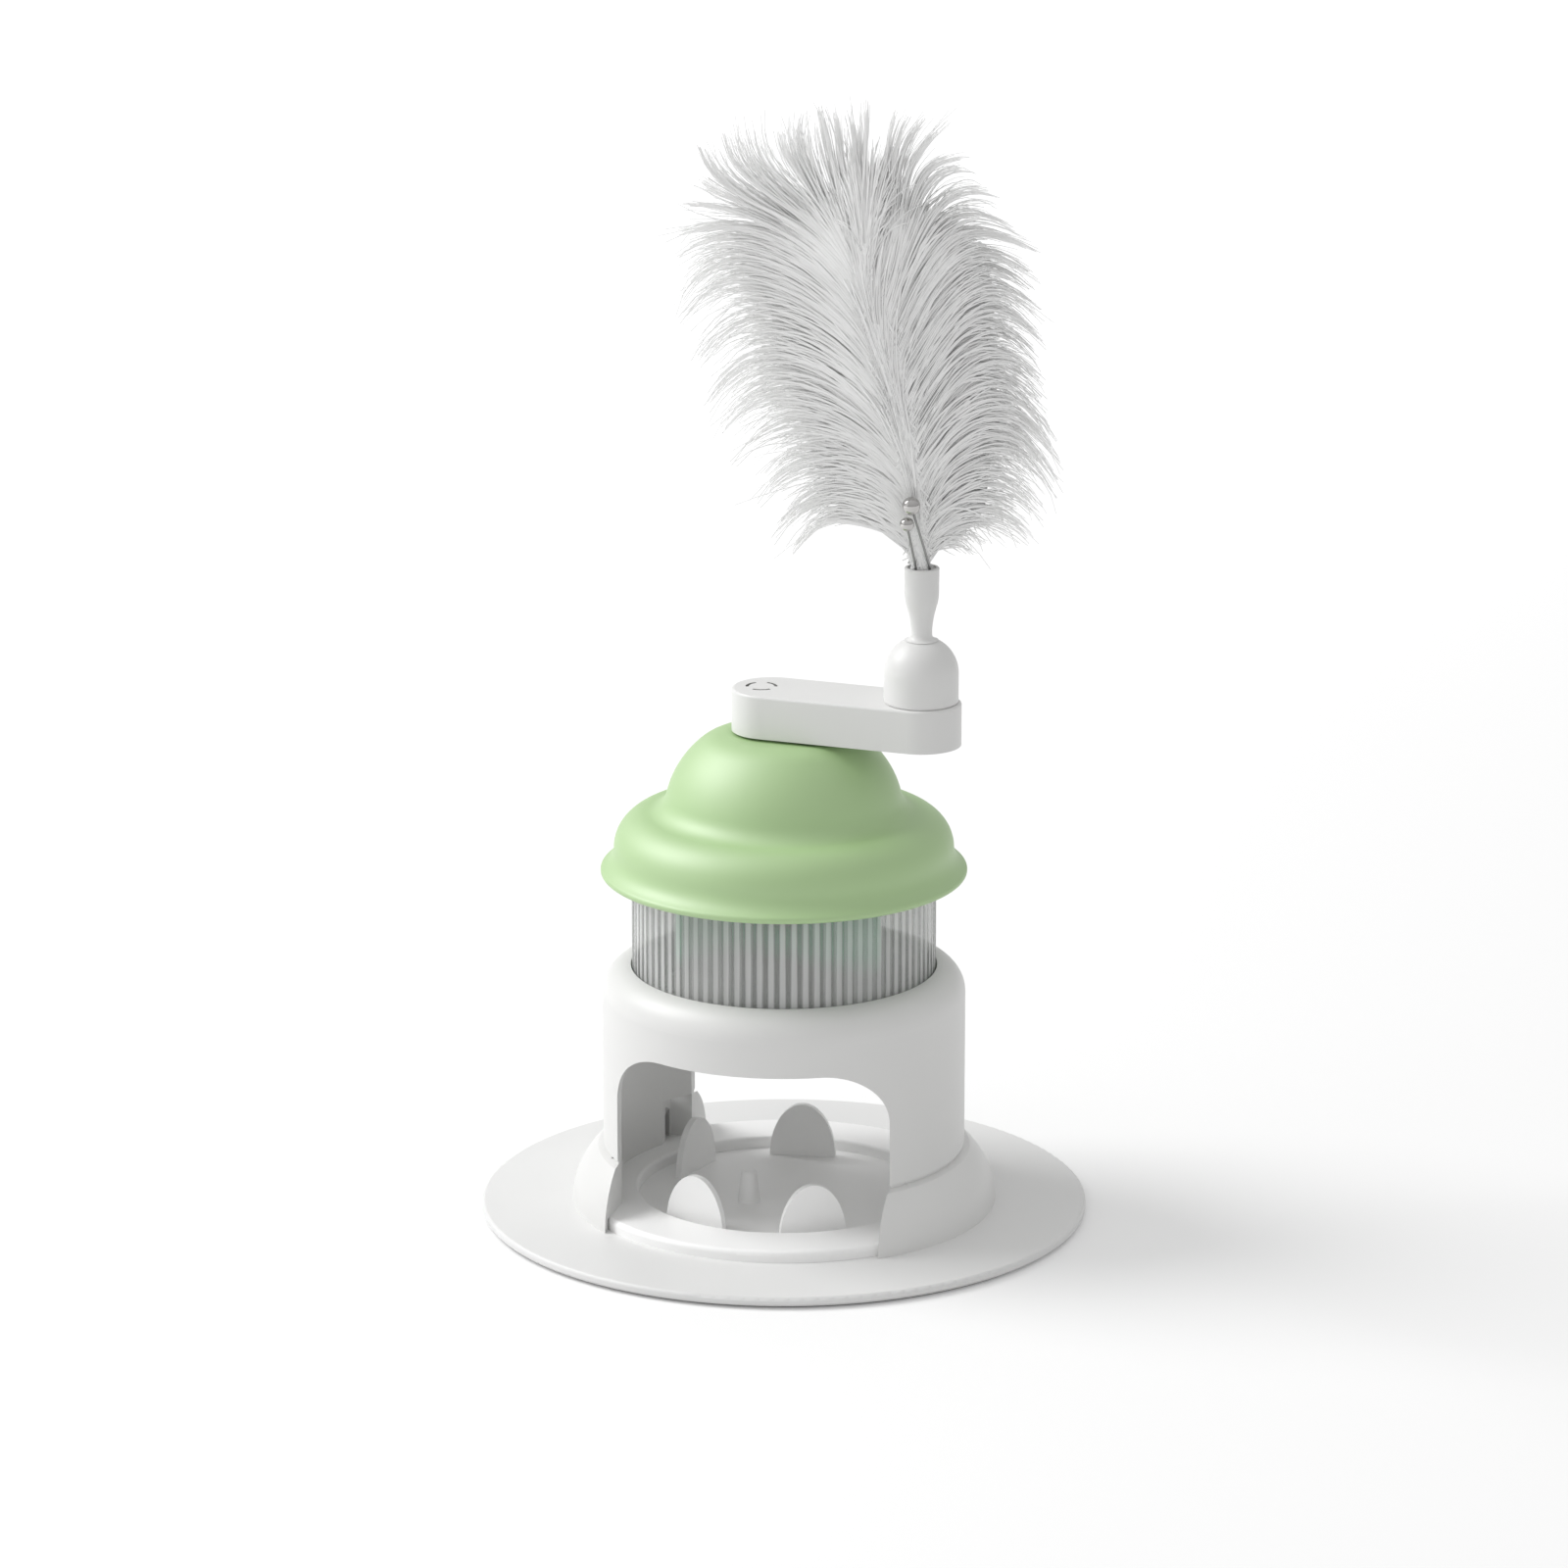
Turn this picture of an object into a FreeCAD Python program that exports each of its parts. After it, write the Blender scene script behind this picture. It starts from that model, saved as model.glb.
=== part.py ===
"""Treat dispenser toy: a round base with a treat dish, a housing with a window, a clear food drum under a
two-tier lid, and a crank arm that carries a turning knob with a feather. Millimetres, +Z up, the origin on
the floor under the middle of the base. The window looks along -Y and +Y."""

import FreeCAD, Part
import math
import os

import Sketcher

V = FreeCAD.Vector
Z_AXIS = V(0, 0, 1)

doc = FreeCAD.newDocument("TreatDispenser")
sheet = doc.addObject("Spreadsheet::Sheet", "Dims")

# Driving dimensions: a word, its value in millimetres or degrees, and what it is
DRIVING = [
    ("base_radius", 90, "base disc, outer radius"),
    ("base_top", 3.5, "top face of the base disc"),
    ("base_underside", 0.8, "underside of the base disc, above the floor"),
    ("grip_inner", 80, "non-slip ring, inner radius"),
    ("grip_outer", 88.2, "non-slip ring, outer radius"),
    ("grip_top", 1.5, "top of the non-slip ring, in its groove"),
    ("recess_floor", 2.1, "floor of the base disc's recess, which takes the dish"),
    ("recess_radius", 45.55, "radius of the base disc's recess"),
    ("dish_radius", 60.4, "outside of the dish's raised rim"),
    ("dish_bowl", 43.4, "inside of the dish's raised rim"),
    ("dish_floor", 3.5, "top of the dish's floor"),
    ("dish_rim", 7.0, "top of the dish's raised rim"),
    ("peg_across", -8.4, "peg on the dish floor, X"),
    ("peg_along", -8.5, "peg on the dish floor, Y"),
    ("peg_foot", 3.4, "peg, radius at the foot"),
    ("peg_tip", 2.3, "peg, radius at the tip"),
    ("peg_height", 9.8, "peg, height over the dish floor"),
    ("petal_circle", 38.4, "petals, mean distance of their middle from the axis"),
    ("petal_width", 20, "petals, width at the floor"),
    ("petal_height", 16.3, "petals, height over the dish floor"),
    ("petal_thickness", 2.0, "petals, thickness"),
    ("house_radius", 53.7, "housing, outer radius of its round wall"),
    ("house_wall", 2.6, "housing, wall thickness"),
    ("house_top", 76, "housing, crown of the shoulder"),
    ("shoulder_round", 8.4, "housing, radius of the full-round shoulder"),
    ("mouth_radius", 45.3, "housing, radius of the mouth that takes the drum"),
    ("collar_wall", 2.2, "housing, wall of the collar inside the mouth"),
    ("shelf_top", 62, "housing, top of the shelf that carries the drop floor"),
    ("shelf_thick", 2.4, "housing, shelf thickness"),
    ("shelf_inner", 34.5, "housing, inner radius of the shelf"),
    ("skirt_foot", 63.0, "skirt, outer radius on the base"),
    ("skirt_head", 55.3, "skirt, outer radius where it turns in to its ledge"),
    ("skirt_ledge", 19.8, "skirt, height of the edge of its ledge"),
    ("skirt_round", 22, "skirt, radius of its bulged side"),
    ("skirt_wall", 2.1, "skirt, wall thickness"),
    ("groove_depth", 0.7, "groove round the foot of the round wall, depth"),
    ("groove_height", 1.0, "groove round the foot of the round wall, height"),
    ("window_half", 38.5, "window, half its width at the front"),
    ("window_back", 41.4, "window, half its width at the back"),
    ("window_top", 57.5, "window, height of its top edge"),
    ("window_round", 17, "window, radius of its top corners"),
    ("back_notch", 45.0, "notch in the skirt at the back of the window, half its width"),
    ("back_notch_start", 34.0, "notch in the skirt at the back of the window, where it starts"),
    ("leg_hollow_half", 35.5, "hollow of the legs' skirt, half the angle that it goes round"),
    ("leg_screw_circle", 56.9, "screws up into the legs, circle radius"),
    ("leg_screw_spread", 27, "screws up into the legs, angle from the leg's middle"),
    ("leg_boss", 2.8, "screw bosses in the legs, radius"),
    ("leg_boss_top", 13, "screw bosses in the legs, top"),
    ("drop_floor_top", 64.5, "top of the floor under the food"),
    ("drop_floor_radius", 44.7, "radius of the floor under the food"),
    ("drop_hole", 8, "drop holes, radius"),
    ("drop_circle", 24.5, "drop holes, distance from the axis"),
    ("drop_turn", 88, "drop holes, angle of the first; a wing stands over each at rest"),
    ("pin_radius", 2.5, "pin that the rotor turns on, radius"),
    ("pin_top", 72, "pin that the rotor turns on, top"),
    ("drum_radius", 44.9, "food drum, outer radius over its flutes"),
    ("drum_inner", 42.6, "food drum, inner radius"),
    ("drum_rim", 112, "food drum, top rim"),
    ("flute_foot", 76.4, "flutes, lower end"),
    ("flute_head", 103.5, "flutes, upper end"),
    ("flute_count", 84, "flutes, how many round the drum"),
    ("drum_screw_circle", 40.0, "screws up into the drum, circle radius"),
    ("drum_boss", 2.9, "screw bosses in the drum, radius"),
    ("drum_boss_top", 74, "screw bosses in the drum, top"),
    ("screw_radius", 1.45, "self-tapping screws, shank radius"),
    ("screw_hole", 1.7, "clearance holes for the screws, radius"),
    ("screw_head", 2.8, "self-tapping screws, head radius"),
    ("screw_head_height", 1.6, "self-tapping screws, head height"),
    ("washer_radius", 6.5, "rotor washer, outer radius"),
    ("washer_thick", 0.6, "rotor washer, thickness"),
    ("rotor_radius", 34.4, "rotor, outer radius"),
    ("rotor_disc", 4.0, "rotor, thickness of its disc"),
    ("rotor_hub", 7, "rotor, hub radius"),
    ("rotor_top", 88, "rotor, top of the hub"),
    ("rotor_turn", -60, "rotor, how its first wing stands at rest"),
    ("pocket_radius", 7.5, "rotor, radius of its treat pockets"),
    ("wing_top", 100, "rotor, top of the wings"),
    ("wing_thick", 2.2, "rotor, wing thickness"),
    ("wing_bend", 26, "rotor, radius that the wings are bent to"),
    ("wing_turn", 82, "rotor, angle that a wing goes round its own bend"),
    ("wing_clear", 82, "rotor, height of the wings' lower edge at the rim"),
    ("wing_count", 3, "rotor, how many wings"),
    ("key_width", 4.2, "square drive on the shaft, across flats"),
    ("key_play", 0.3, "play of the square drive in the rotor, each side"),
    ("socket_floor", 76, "square socket in the rotor, floor"),
    ("turn_play", 0.05, "running fits, radial clearance"),
    ("lid_wall", 2.2, "lid, wall thickness"),
    ("lid_top", 146.4, "lid, flat crown"),
    ("crown_radius", 17.08, "lid, radius of the flat crown"),
    ("crown_round", 12, "lid, radius of the crown's rounded edge"),
    ("dome_radius", 24.61, "lid, where the upper dome's side begins"),
    ("dome_height", 143.75, "lid, height where the upper dome's side begins"),
    ("dome_round", 28.91, "lid, radius of the upper dome's side"),
    ("waist_in_radius", 34.63, "lid, waist, inner end"),
    ("waist_in_height", 127.77, "lid, waist, height of the inner end"),
    ("waist_round", 6.78, "lid, hollow radius of the waist"),
    ("waist_out_radius", 40.49, "lid, waist, outer end"),
    ("waist_out_height", 122.56, "lid, waist, height of the outer end"),
    ("tier_round", 10.76, "lid, radius of the lower tier's side"),
    ("tier_foot_radius", 50.08, "lid, foot of the lower tier"),
    ("tier_foot_height", 111.87, "lid, height of the foot of the lower tier"),
    ("flare_round", 6.46, "lid, hollow radius above the rolled rim"),
    ("roll_in_radius", 53.43, "lid, rolled rim, upper end"),
    ("roll_in_height", 106.2, "lid, rolled rim, height of the upper end"),
    ("roll_round", 1.13, "lid, radius of the rolled rim"),
    ("roll_out_radius", 52.89, "lid, rolled rim, lower end"),
    ("rim_foot", 104.08, "lid, lower edge of the rim"),
    ("rim_inner", 50.2, "lid, inner radius of the rim"),
    ("plug_radius", 41.8, "lid, outer radius of the plug that goes down into the drum"),
    ("plug_wall", 2.0, "lid, wall of the plug"),
    ("plug_foot", 104.4, "lid, lower edge of the plug"),
    ("plug_head", 121.3, "lid, where the plug runs into the shell"),
    ("seal_radius", 42.25, "lid seal, outer radius"),
    ("seal_depth", 0.9, "lid seal, depth of its groove in the plug"),
    ("seal_foot", 106, "lid seal, lower face"),
    ("seal_head", 108.6, "lid seal, upper face"),
    ("rib_count", 8, "lid, ribs that rest on the drum's rim"),
    ("rib_thick", 1.8, "lid, rib thickness"),
    ("rib_reach", 48.3, "lid, outer radius of the ribs, in the shell"),
    ("rib_shoulder", 115.5, "lid, height of the ribs at the shell"),
    ("lid_boss", 8, "lid, boss round the bush, radius"),
    ("lid_boss_foot", 134, "lid, lower face of the boss"),
    ("bush_radius", 5, "bush, outer radius"),
    ("bush_flange", 8.5, "bush, flange radius"),
    ("shaft_radius", 3, "drive shaft, radius"),
    ("shaft_foot", 77, "drive shaft, lower end"),
    ("key_top", 92, "drive shaft, top of its square end"),
    ("clip_radius", 6, "shaft clip, outer radius"),
    ("clip_thick", 0.8, "shaft clip, thickness"),
    ("clip_gap", 0.2, "shaft clip, gap under the bush"),
    ("flange_radius", 6.5, "drive shaft, flange in the arm, radius"),
    ("flange_thick", 2.0, "drive shaft, flange thickness"),
    ("arm_foot", 147.2, "arm, lower face"),
    ("arm_top", 160, "arm, upper face"),
    ("arm_end", 11.8, "arm, radius of its round ends"),
    ("arm_back", -3.8, "arm, middle of its near end, along the arm"),
    ("arm_wall", 2.2, "arm, wall thickness"),
    ("arm_edge", 0.8, "arm, rounding of its upper edge"),
    ("arm_turn", -5, "arm, how it stands at rest"),
    ("knob_reach", 42.5, "knob, distance of its axis from the shaft"),
    ("cover_thick", 2.0, "arm cover, thickness"),
    ("cover_play", 0.15, "arm cover, gap to the arm's wall"),
    ("cover_screw_near", 13, "arm cover screws, near one"),
    ("cover_screw_far", 29, "arm cover screws, far one"),
    ("cover_boss", 3.0, "arm, screw boss radius"),
    ("mark_middle", -7, "turning mark, its middle along the arm"),
    ("mark_radius", 4.2, "turning mark, radius of its arcs"),
    ("mark_width", 1.0, "turning mark, width of its arcs"),
    ("mark_depth", 0.5, "turning mark, depth"),
    ("mark_angle", 38, "turning mark, half the angle of an arc"),
    ("mark_turn", 20.5, "turning mark, how it stands on the arm"),
    ("stud_head", 4.6, "knob stud, head radius"),
    ("stud_radius", 2.5, "knob stud, radius"),
    ("stud_top", 168.3, "knob stud, upper end"),
    ("knob_radius", 10.9, "knob, outer radius"),
    ("knob_shoulder", 168.6, "knob, height where its round top begins"),
    ("knob_shelf", 168, "knob, floor of the hollow over the stud"),
    ("knob_hollow", 4.45, "knob, radius of the hollow over the stud"),
    ("knob_screw_head", 3.8, "knob screw, head radius"),
    ("knob_screw_foot", 160, "knob screw, lower end"),
    ("cup_plug", 4.4, "feather cup, radius of its plug in the knob"),
    ("cup_foot", 170.8, "feather cup, lower end"),
    ("cup_plug_top", 178.5, "feather cup, top of its plug"),
    ("cup_collar", 4.95, "feather cup, radius of the collar that covers the knob's bore"),
    ("cup_collar_round", 1.85, "feather cup, hollow radius from the collar to the neck"),
    ("cup_neck", 3.1, "feather cup, neck radius"),
    ("cup_neck_top", 181.5, "feather cup, top of the neck"),
    ("cup_flare", 32, "feather cup, hollow radius of its flare"),
    ("cup_radius", 5.1, "feather cup, radius at its widest"),
    ("cup_shoulder", 190.5, "feather cup, height where it runs straight"),
    ("cup_rim", 200.2, "feather cup, rim"),
    ("cup_wall", 0.9, "feather cup, wall at the rim"),
    ("cup_throat", 184, "feather cup, top of the bore that holds the stalk"),
    ("cup_bore_foot", 173.5, "feather cup, foot of the bore"),
    ("quill_radius", 1.2, "feather stalk, radius"),
    ("quill_foot", 174, "feather stalk, lower end"),
    ("quill_top", 214, "feather stalk, where it is lost in the plume"),
    ("plume_turn", 15.5, "plume, how its flat side stands at rest"),
    ("bell_big", 2.65, "bells, radius of the upper one"),
    ("bell_small", 2.1, "bells, radius of the lower one"),
    ("bell_wire", 0.35, "bell wires, radius"),
]


class Size:
    """A number together with the cell formula that gives it, so that a shape can be bound to the sheet."""

    def __init__(self, value, formula=None):
        self.value = float(value)
        self.formula = formula or f"{self.value:g}"

    def joined(self, other, sign, value):
        return Size(value, f"({self.formula} {sign} {other.formula})")

    def __add__(self, other):
        other = as_size(other)
        return self.joined(other, "+", self.value + other.value)

    def __sub__(self, other):
        other = as_size(other)
        return self.joined(other, "-", self.value - other.value)

    def __mul__(self, other):
        other = as_size(other)
        return self.joined(other, "*", self.value * other.value)

    def __truediv__(self, other):
        other = as_size(other)
        return self.joined(other, "/", self.value / other.value)

    def __neg__(self):
        return Size(-self.value, f"(-1 * {self.formula})")

    def sin(self):
        return Size(math.sin(math.radians(self.value)), f"sin({self.formula} * 1deg)")

    def cos(self):
        return Size(math.cos(math.radians(self.value)), f"cos({self.formula} * 1deg)")


def as_size(number):
    return number if isinstance(number, Size) else Size(number)


class Dimensions:
    """The sheet's cells by their words: dims.base_radius and so on."""


dims = Dimensions()
for row, (word, number, meaning) in enumerate(DRIVING, start=1):
    sheet.set(f"A{row}", meaning)
    sheet.set(f"B{row}", str(number))
    sheet.setAlias(f"B{row}", word)
    setattr(dims, word, Size(number, f"Dims.{word}"))
doc.recompute()

nodes = {}


def keep(label, thing):
    """Names a sub-part and puts it on the list of those that are written out."""
    thing.Label = label
    nodes[label] = thing
    return thing


def bind(thing, path, size):
    thing.setExpression(path, as_size(size).formula)


def new_body(name):
    return doc.addObject("PartDesign::Body", name)


def origin_part(body, role):
    return [part for part in body.Origin.OriginFeatures if part.Role == role][0]


def sketch_on(body, name, role, height=None, across=None, along=None, turn=None):
    """A sketch on one of the body's own planes, moved along Z, X and Y and turned where that is asked for."""
    sketch = body.newObject("Sketcher::SketchObject", name)
    sketch.AttachmentSupport = [(origin_part(body, role), "")]
    sketch.MapMode = "FlatFace"
    if height is not None:
        bind(sketch, ".AttachmentOffset.Base.z", height)
    if across is not None:
        bind(sketch, ".AttachmentOffset.Base.x", across)
    if along is not None:
        bind(sketch, ".AttachmentOffset.Base.y", along)
    if turn is not None:
        sketch.AttachmentOffset = FreeCAD.Placement(V(), FreeCAD.Rotation(Z_AXIS, 10))
        bind(sketch, ".AttachmentOffset.Rotation.Angle", turn)
    return sketch


def pin_point(sketch, edge, end, x, y):
    """Fixes one end of an edge at x, y, each bound to its own formula."""
    for kind, size in (("DistanceX", x), ("DistanceY", y)):
        index = sketch.addConstraint(Sketcher.Constraint(kind, -1, 1, edge, end, as_size(size).value))
        bind(sketch, f"Constraints[{index}]", size)


def draw_outline(sketch, corners):
    """Draws a closed outline. A corner is (x, y), or (x, y, radius, side) where the stretch to the next corner
    is an arc of that radius, its middle on the left (1) or on the right (-1) of the way there."""
    count = len(corners)
    first = sketch.GeometryCount
    points = [V(as_size(corner[0]).value, as_size(corner[1]).value, 0) for corner in corners]
    for index, corner in enumerate(corners):
        start, end = points[index], points[(index + 1) % count]
        if len(corner) == 2:
            sketch.addGeometry(Part.LineSegment(start, end), False)
            continue
        radius, side = as_size(corner[2]).value, corner[3]
        chord = end - start
        left = V(-chord.y, chord.x, 0).normalize()
        rise = math.sqrt(max(radius**2 - (chord.Length / 2) ** 2, 0))
        middle = (start + end) / 2 + left * (side * rise)
        from_point, to_point = (start, end) if side > 0 else (end, start)
        opening = math.atan2(from_point.y - middle.y, from_point.x - middle.x)
        closing = math.atan2(to_point.y - middle.y, to_point.x - middle.x)
        circle = Part.Circle(middle, Z_AXIS, radius)
        sketch.addGeometry(Part.ArcOfCircle(circle, opening, closing + (2 * math.pi if closing < opening else 0)), False)
    for index, corner in enumerate(corners):
        edge, following = first + index, first + (index + 1) % count
        next_corner = corners[(index + 1) % count]
        sketch.addConstraint(
            Sketcher.Constraint("Coincident", edge, ends_of(corner)[1], following, ends_of(next_corner)[0])
        )
        pin_point(sketch, edge, ends_of(corner)[0], corner[0], corner[1])
        if len(corner) == 2:
            continue
        chord = points[(index + 1) % count] - points[index]
        if chord.Length > 1.9999 * as_size(corner[2]).value:
            kind, size = ("DistanceX", corner[0]) if abs(chord.x) < abs(chord.y) else ("DistanceY", corner[1])
            row = sketch.addConstraint(Sketcher.Constraint(kind, -1, 1, edge, 3, as_size(size).value))
        else:
            size = corner[2]
            row = sketch.addConstraint(Sketcher.Constraint("Radius", edge, as_size(size).value))
        bind(sketch, f"Constraints[{row}]", size)


def ends_of(corner):
    """The numbers of an edge's two ends in the order of travel: an arc always runs anticlockwise."""
    return (2, 1) if len(corner) == 4 and corner[3] < 0 else (1, 2)


def draw_circle(sketch, x, y, radius):
    x, y, radius = as_size(x), as_size(y), as_size(radius)
    edge = sketch.addGeometry(Part.Circle(V(x.value, y.value, 0), Z_AXIS, radius.value), False)
    pin_point(sketch, edge, 3, x, y)
    row = sketch.addConstraint(Sketcher.Constraint("Radius", edge, radius.value))
    bind(sketch, f"Constraints[{row}]", radius)


def spin(body, name, corners, cut=False, half_angle=None):
    """Turns an outline of radius and height round the Z axis, as new material or as a cut. With a half angle it
    goes round only that far to both sides of +X."""
    sketch = sketch_on(body, f"{name}_outline", "XZ_Plane")
    draw_outline(sketch, corners)
    feature = body.newObject("PartDesign::Groove" if cut else "PartDesign::Revolution", name)
    feature.Profile = (sketch, [""])
    feature.ReferenceAxis = (sketch, ["V_Axis"])
    feature.Angle = 360
    if half_angle is not None:
        feature.Midplane = True
        bind(feature, "Angle", half_angle * 2)
    return feature


def pad(body, name, sketch, length, both_ways=False):
    feature = body.newObject("PartDesign::Pad", name)
    feature.Profile = (sketch, [""])
    bind(feature, "Length", length)
    feature.SideType = "Symmetric" if both_ways else "One side"
    return feature


def pocket(body, name, sketch, depth, upward=False, both_ways=False):
    """Cuts a sketch into the body: downwards from its plane, or upwards, or both ways."""
    feature = body.newObject("PartDesign::Pocket", name)
    feature.Profile = (sketch, [""])
    bind(feature, "Length", depth)
    feature.Reversed = upward
    feature.SideType = "Symmetric" if both_ways else "One side"
    return feature


def ring_of(body, name, feature, sketch, count, axis="N_Axis"):
    """Repeats a feature evenly round a sketch's own axis: as a rule the normal through its origin."""
    pattern = body.newObject("PartDesign::PolarPattern", name)
    pattern.Originals = [feature]
    pattern.Axis = (sketch, [axis])
    pattern.Angle = 360
    bind(pattern, "Occurrences", count)
    body.Tip = pattern
    return pattern


def round_edges(body, name, radius, wanted):
    """Rounds the edges of the body's last feature whose middle point passes the test."""
    doc.recompute()
    base = body.Tip
    chosen = [
        f"Edge{number}"
        for number, edge in enumerate(base.Shape.Edges, start=1)
        if wanted(edge.valueAt((edge.FirstParameter + edge.LastParameter) / 2))
    ]
    feature = body.newObject("PartDesign::Fillet", name)
    feature.Base = (base, chosen)
    bind(feature, "Radius", radius)
    return feature


def at_height(height, low=0.0, high=1000.0):
    """A test for points at one height, between two radii."""
    return lambda point: abs(point.z - as_size(height).value) < 0.02 and low < math.hypot(point.x, point.y) < high


def stand_at_knob(thing, turn=None):
    """Moves a sub-part from the axis to the knob's place at the end of the arm."""
    thing.Placement = FreeCAD.Placement(V(), FreeCAD.Rotation(Z_AXIS, 10))
    bind(thing, ".Placement.Base.x", dims.knob_reach * dims.arm_turn.cos())
    bind(thing, ".Placement.Base.y", dims.knob_reach * dims.arm_turn.sin())
    bind(thing, ".Placement.Rotation.Angle", turn or dims.arm_turn)
    return thing


def turn_with_arm(thing):
    thing.Placement = FreeCAD.Placement(V(), FreeCAD.Rotation(Z_AXIS, 10))
    bind(thing, ".Placement.Rotation.Angle", dims.arm_turn)
    return thing


def group(label, things):
    """Identical pieces as one node of separate solids."""
    together = doc.addObject("Part::Compound", f"{label}_group")
    together.Links = things
    return keep(label, together)


def screw_up(name, x, y, head_foot, shank_top):
    """A self-tapping screw that points up, with a domed head and a pointed end."""
    body = new_body(name)
    head_top = head_foot + dims.screw_head_height
    spin(
        body,
        f"{name}_turned",
        [
            (0, head_foot),
            (dims.screw_head - 0.6, head_foot),
            (dims.screw_head, head_foot + 0.6),
            (dims.screw_head, head_top),
            (dims.screw_radius, head_top),
            (dims.screw_radius, shank_top - dims.screw_radius),
            (0, shank_top),
        ],
    )
    bind(body, ".Placement.Base.x", x)
    bind(body, ".Placement.Base.y", y)
    return body


def leg_screw_places():
    """The four screws up into the legs: two a side, spread evenly about the X axis."""
    x = dims.leg_screw_circle * dims.leg_screw_spread.cos()
    y = dims.leg_screw_circle * dims.leg_screw_spread.sin()
    return [(x, y), (-x, y), (-x, -y), (x, -y)]


def drum_screw_places():
    """The four screws up into the drum, on the diagonals."""
    step = dims.drum_screw_circle * Size(45).cos()
    return [(step, step), (-step, step), (-step, -step), (step, -step)]


def make_base_plate():
    body = new_body("BasePlate")
    spin(
        body,
        "PlateDisc",
        [
            (0, dims.base_underside),
            (dims.grip_inner, dims.base_underside),
            (dims.grip_inner, dims.grip_top),
            (dims.grip_outer, dims.grip_top),
            (dims.grip_outer, dims.base_underside),
            (dims.base_radius - 0.8, dims.base_underside),
            (dims.base_radius, dims.base_underside + 0.8),
            (dims.base_radius, dims.base_top),
            (dims.recess_radius, dims.base_top),
            (dims.recess_radius, dims.recess_floor),
            (0, dims.recess_floor),
        ],
    )
    round_edges(body, "PlateRim", Size(1.0), at_height(dims.base_top, low=dims.base_radius.value - 0.1))
    heads = sketch_on(body, "ScrewRecesses", "XY_Plane", height=dims.base_underside)
    holes = sketch_on(body, "ScrewHoles", "XY_Plane", height=dims.base_underside)
    for x, y in leg_screw_places():
        draw_circle(heads, x, y, dims.screw_head + 0.3)
        draw_circle(holes, x, y, dims.screw_hole)
    pocket(body, "PlateRecesses", heads, dims.screw_head_height + 0.1, upward=True)
    pocket(body, "PlateHoles", holes, dims.base_top, upward=True)
    return keep("base_plate", body)


def make_non_slip_ring():
    body = new_body("NonSlipRing")
    spin(
        body,
        "GripRing",
        [
            (dims.grip_inner + 0.4, 0),
            (dims.grip_outer - 0.4, 0),
            (dims.grip_outer, 0.4),
            (dims.grip_outer, dims.grip_top),
            (dims.grip_inner, dims.grip_top),
            (dims.grip_inner, 0.4),
        ],
    )
    return keep("non_slip_ring", body)


# Petals: the angle round the dish from the front of the window towards +X, how far each stands out of the
# mean circle, and how its own face is turned
PETAL_PLACES = (
    (-25.2, 1.2, -18.0),
    (27.9, 0.6, 28.7),
    (107.5, 0.0, 107.5),
    (186.5, -1.8, 187.8),
    (244.7, -3.3, 255.0),
)


def petal_middle(angle, outward):
    reach = dims.petal_circle + outward
    return reach * Size(angle).sin(), -reach * Size(angle).cos()


def make_treat_tray():
    """The dish: a floor and a broad raised rim that is cored out from below, with one peg on the floor."""
    body = new_body("TreatTray")
    core_inner, core_outer = dims.dish_bowl + 2, dims.leg_screw_circle - 4
    spin(
        body,
        "Dish",
        [
            (0, dims.recess_floor),
            (core_inner, dims.recess_floor),
            (core_inner, dims.dish_rim - 1.6),
            (core_outer, dims.dish_rim - 1.6),
            (core_outer, dims.base_top),
            (dims.dish_radius, dims.base_top),
            (dims.dish_radius, dims.dish_rim - 1.6, 1.6, 1),
            (dims.dish_radius - 1.6, dims.dish_rim),
            (dims.dish_bowl + 1, dims.dish_rim, 1, 1),
            (dims.dish_bowl, dims.dish_rim - 1),
            (dims.dish_bowl, dims.dish_floor),
            (0, dims.dish_floor),
        ],
    )
    peg = body.newObject("PartDesign::AdditiveCone", "Peg")
    peg.AttachmentSupport = [(origin_part(body, "XY_Plane"), "")]
    peg.MapMode = "FlatFace"
    bind(peg, ".AttachmentOffset.Base.x", dims.peg_across)
    bind(peg, ".AttachmentOffset.Base.y", dims.peg_along)
    bind(peg, ".AttachmentOffset.Base.z", dims.dish_floor - 0.5)
    bind(peg, "Radius1", dims.peg_foot)
    bind(peg, "Radius2", dims.peg_tip)
    bind(peg, "Height", dims.peg_height + 0.5)
    peg_tip = (dims.dish_floor + dims.peg_height).value
    round_edges(body, "PegTip", Size(1.2), lambda point: abs(point.z - peg_tip) < 0.02)
    holes = sketch_on(body, "TrayScrewHoles", "XY_Plane", height=dims.dish_rim)
    for x, y in leg_screw_places():
        draw_circle(holes, x, y, dims.screw_hole)
    pocket(body, "TrayHoles", holes, dims.dish_rim)
    wide, thick = dims.petal_width / 2, dims.petal_thickness / 2
    for number, (angle, outward, turn) in enumerate(PETAL_PLACES, start=1):
        x, y = petal_middle(angle, outward)
        slot = sketch_on(body, f"PetalSlot{number}", "XY_Plane", dims.dish_floor, x, y, Size(turn))
        draw_outline(slot, [(-wide, -thick), (wide, -thick), (wide, thick), (-wide, thick)])
        pocket(body, f"PetalSlotCut{number}", slot, dims.dish_floor)
    return keep("treat_tray", body)


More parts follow.
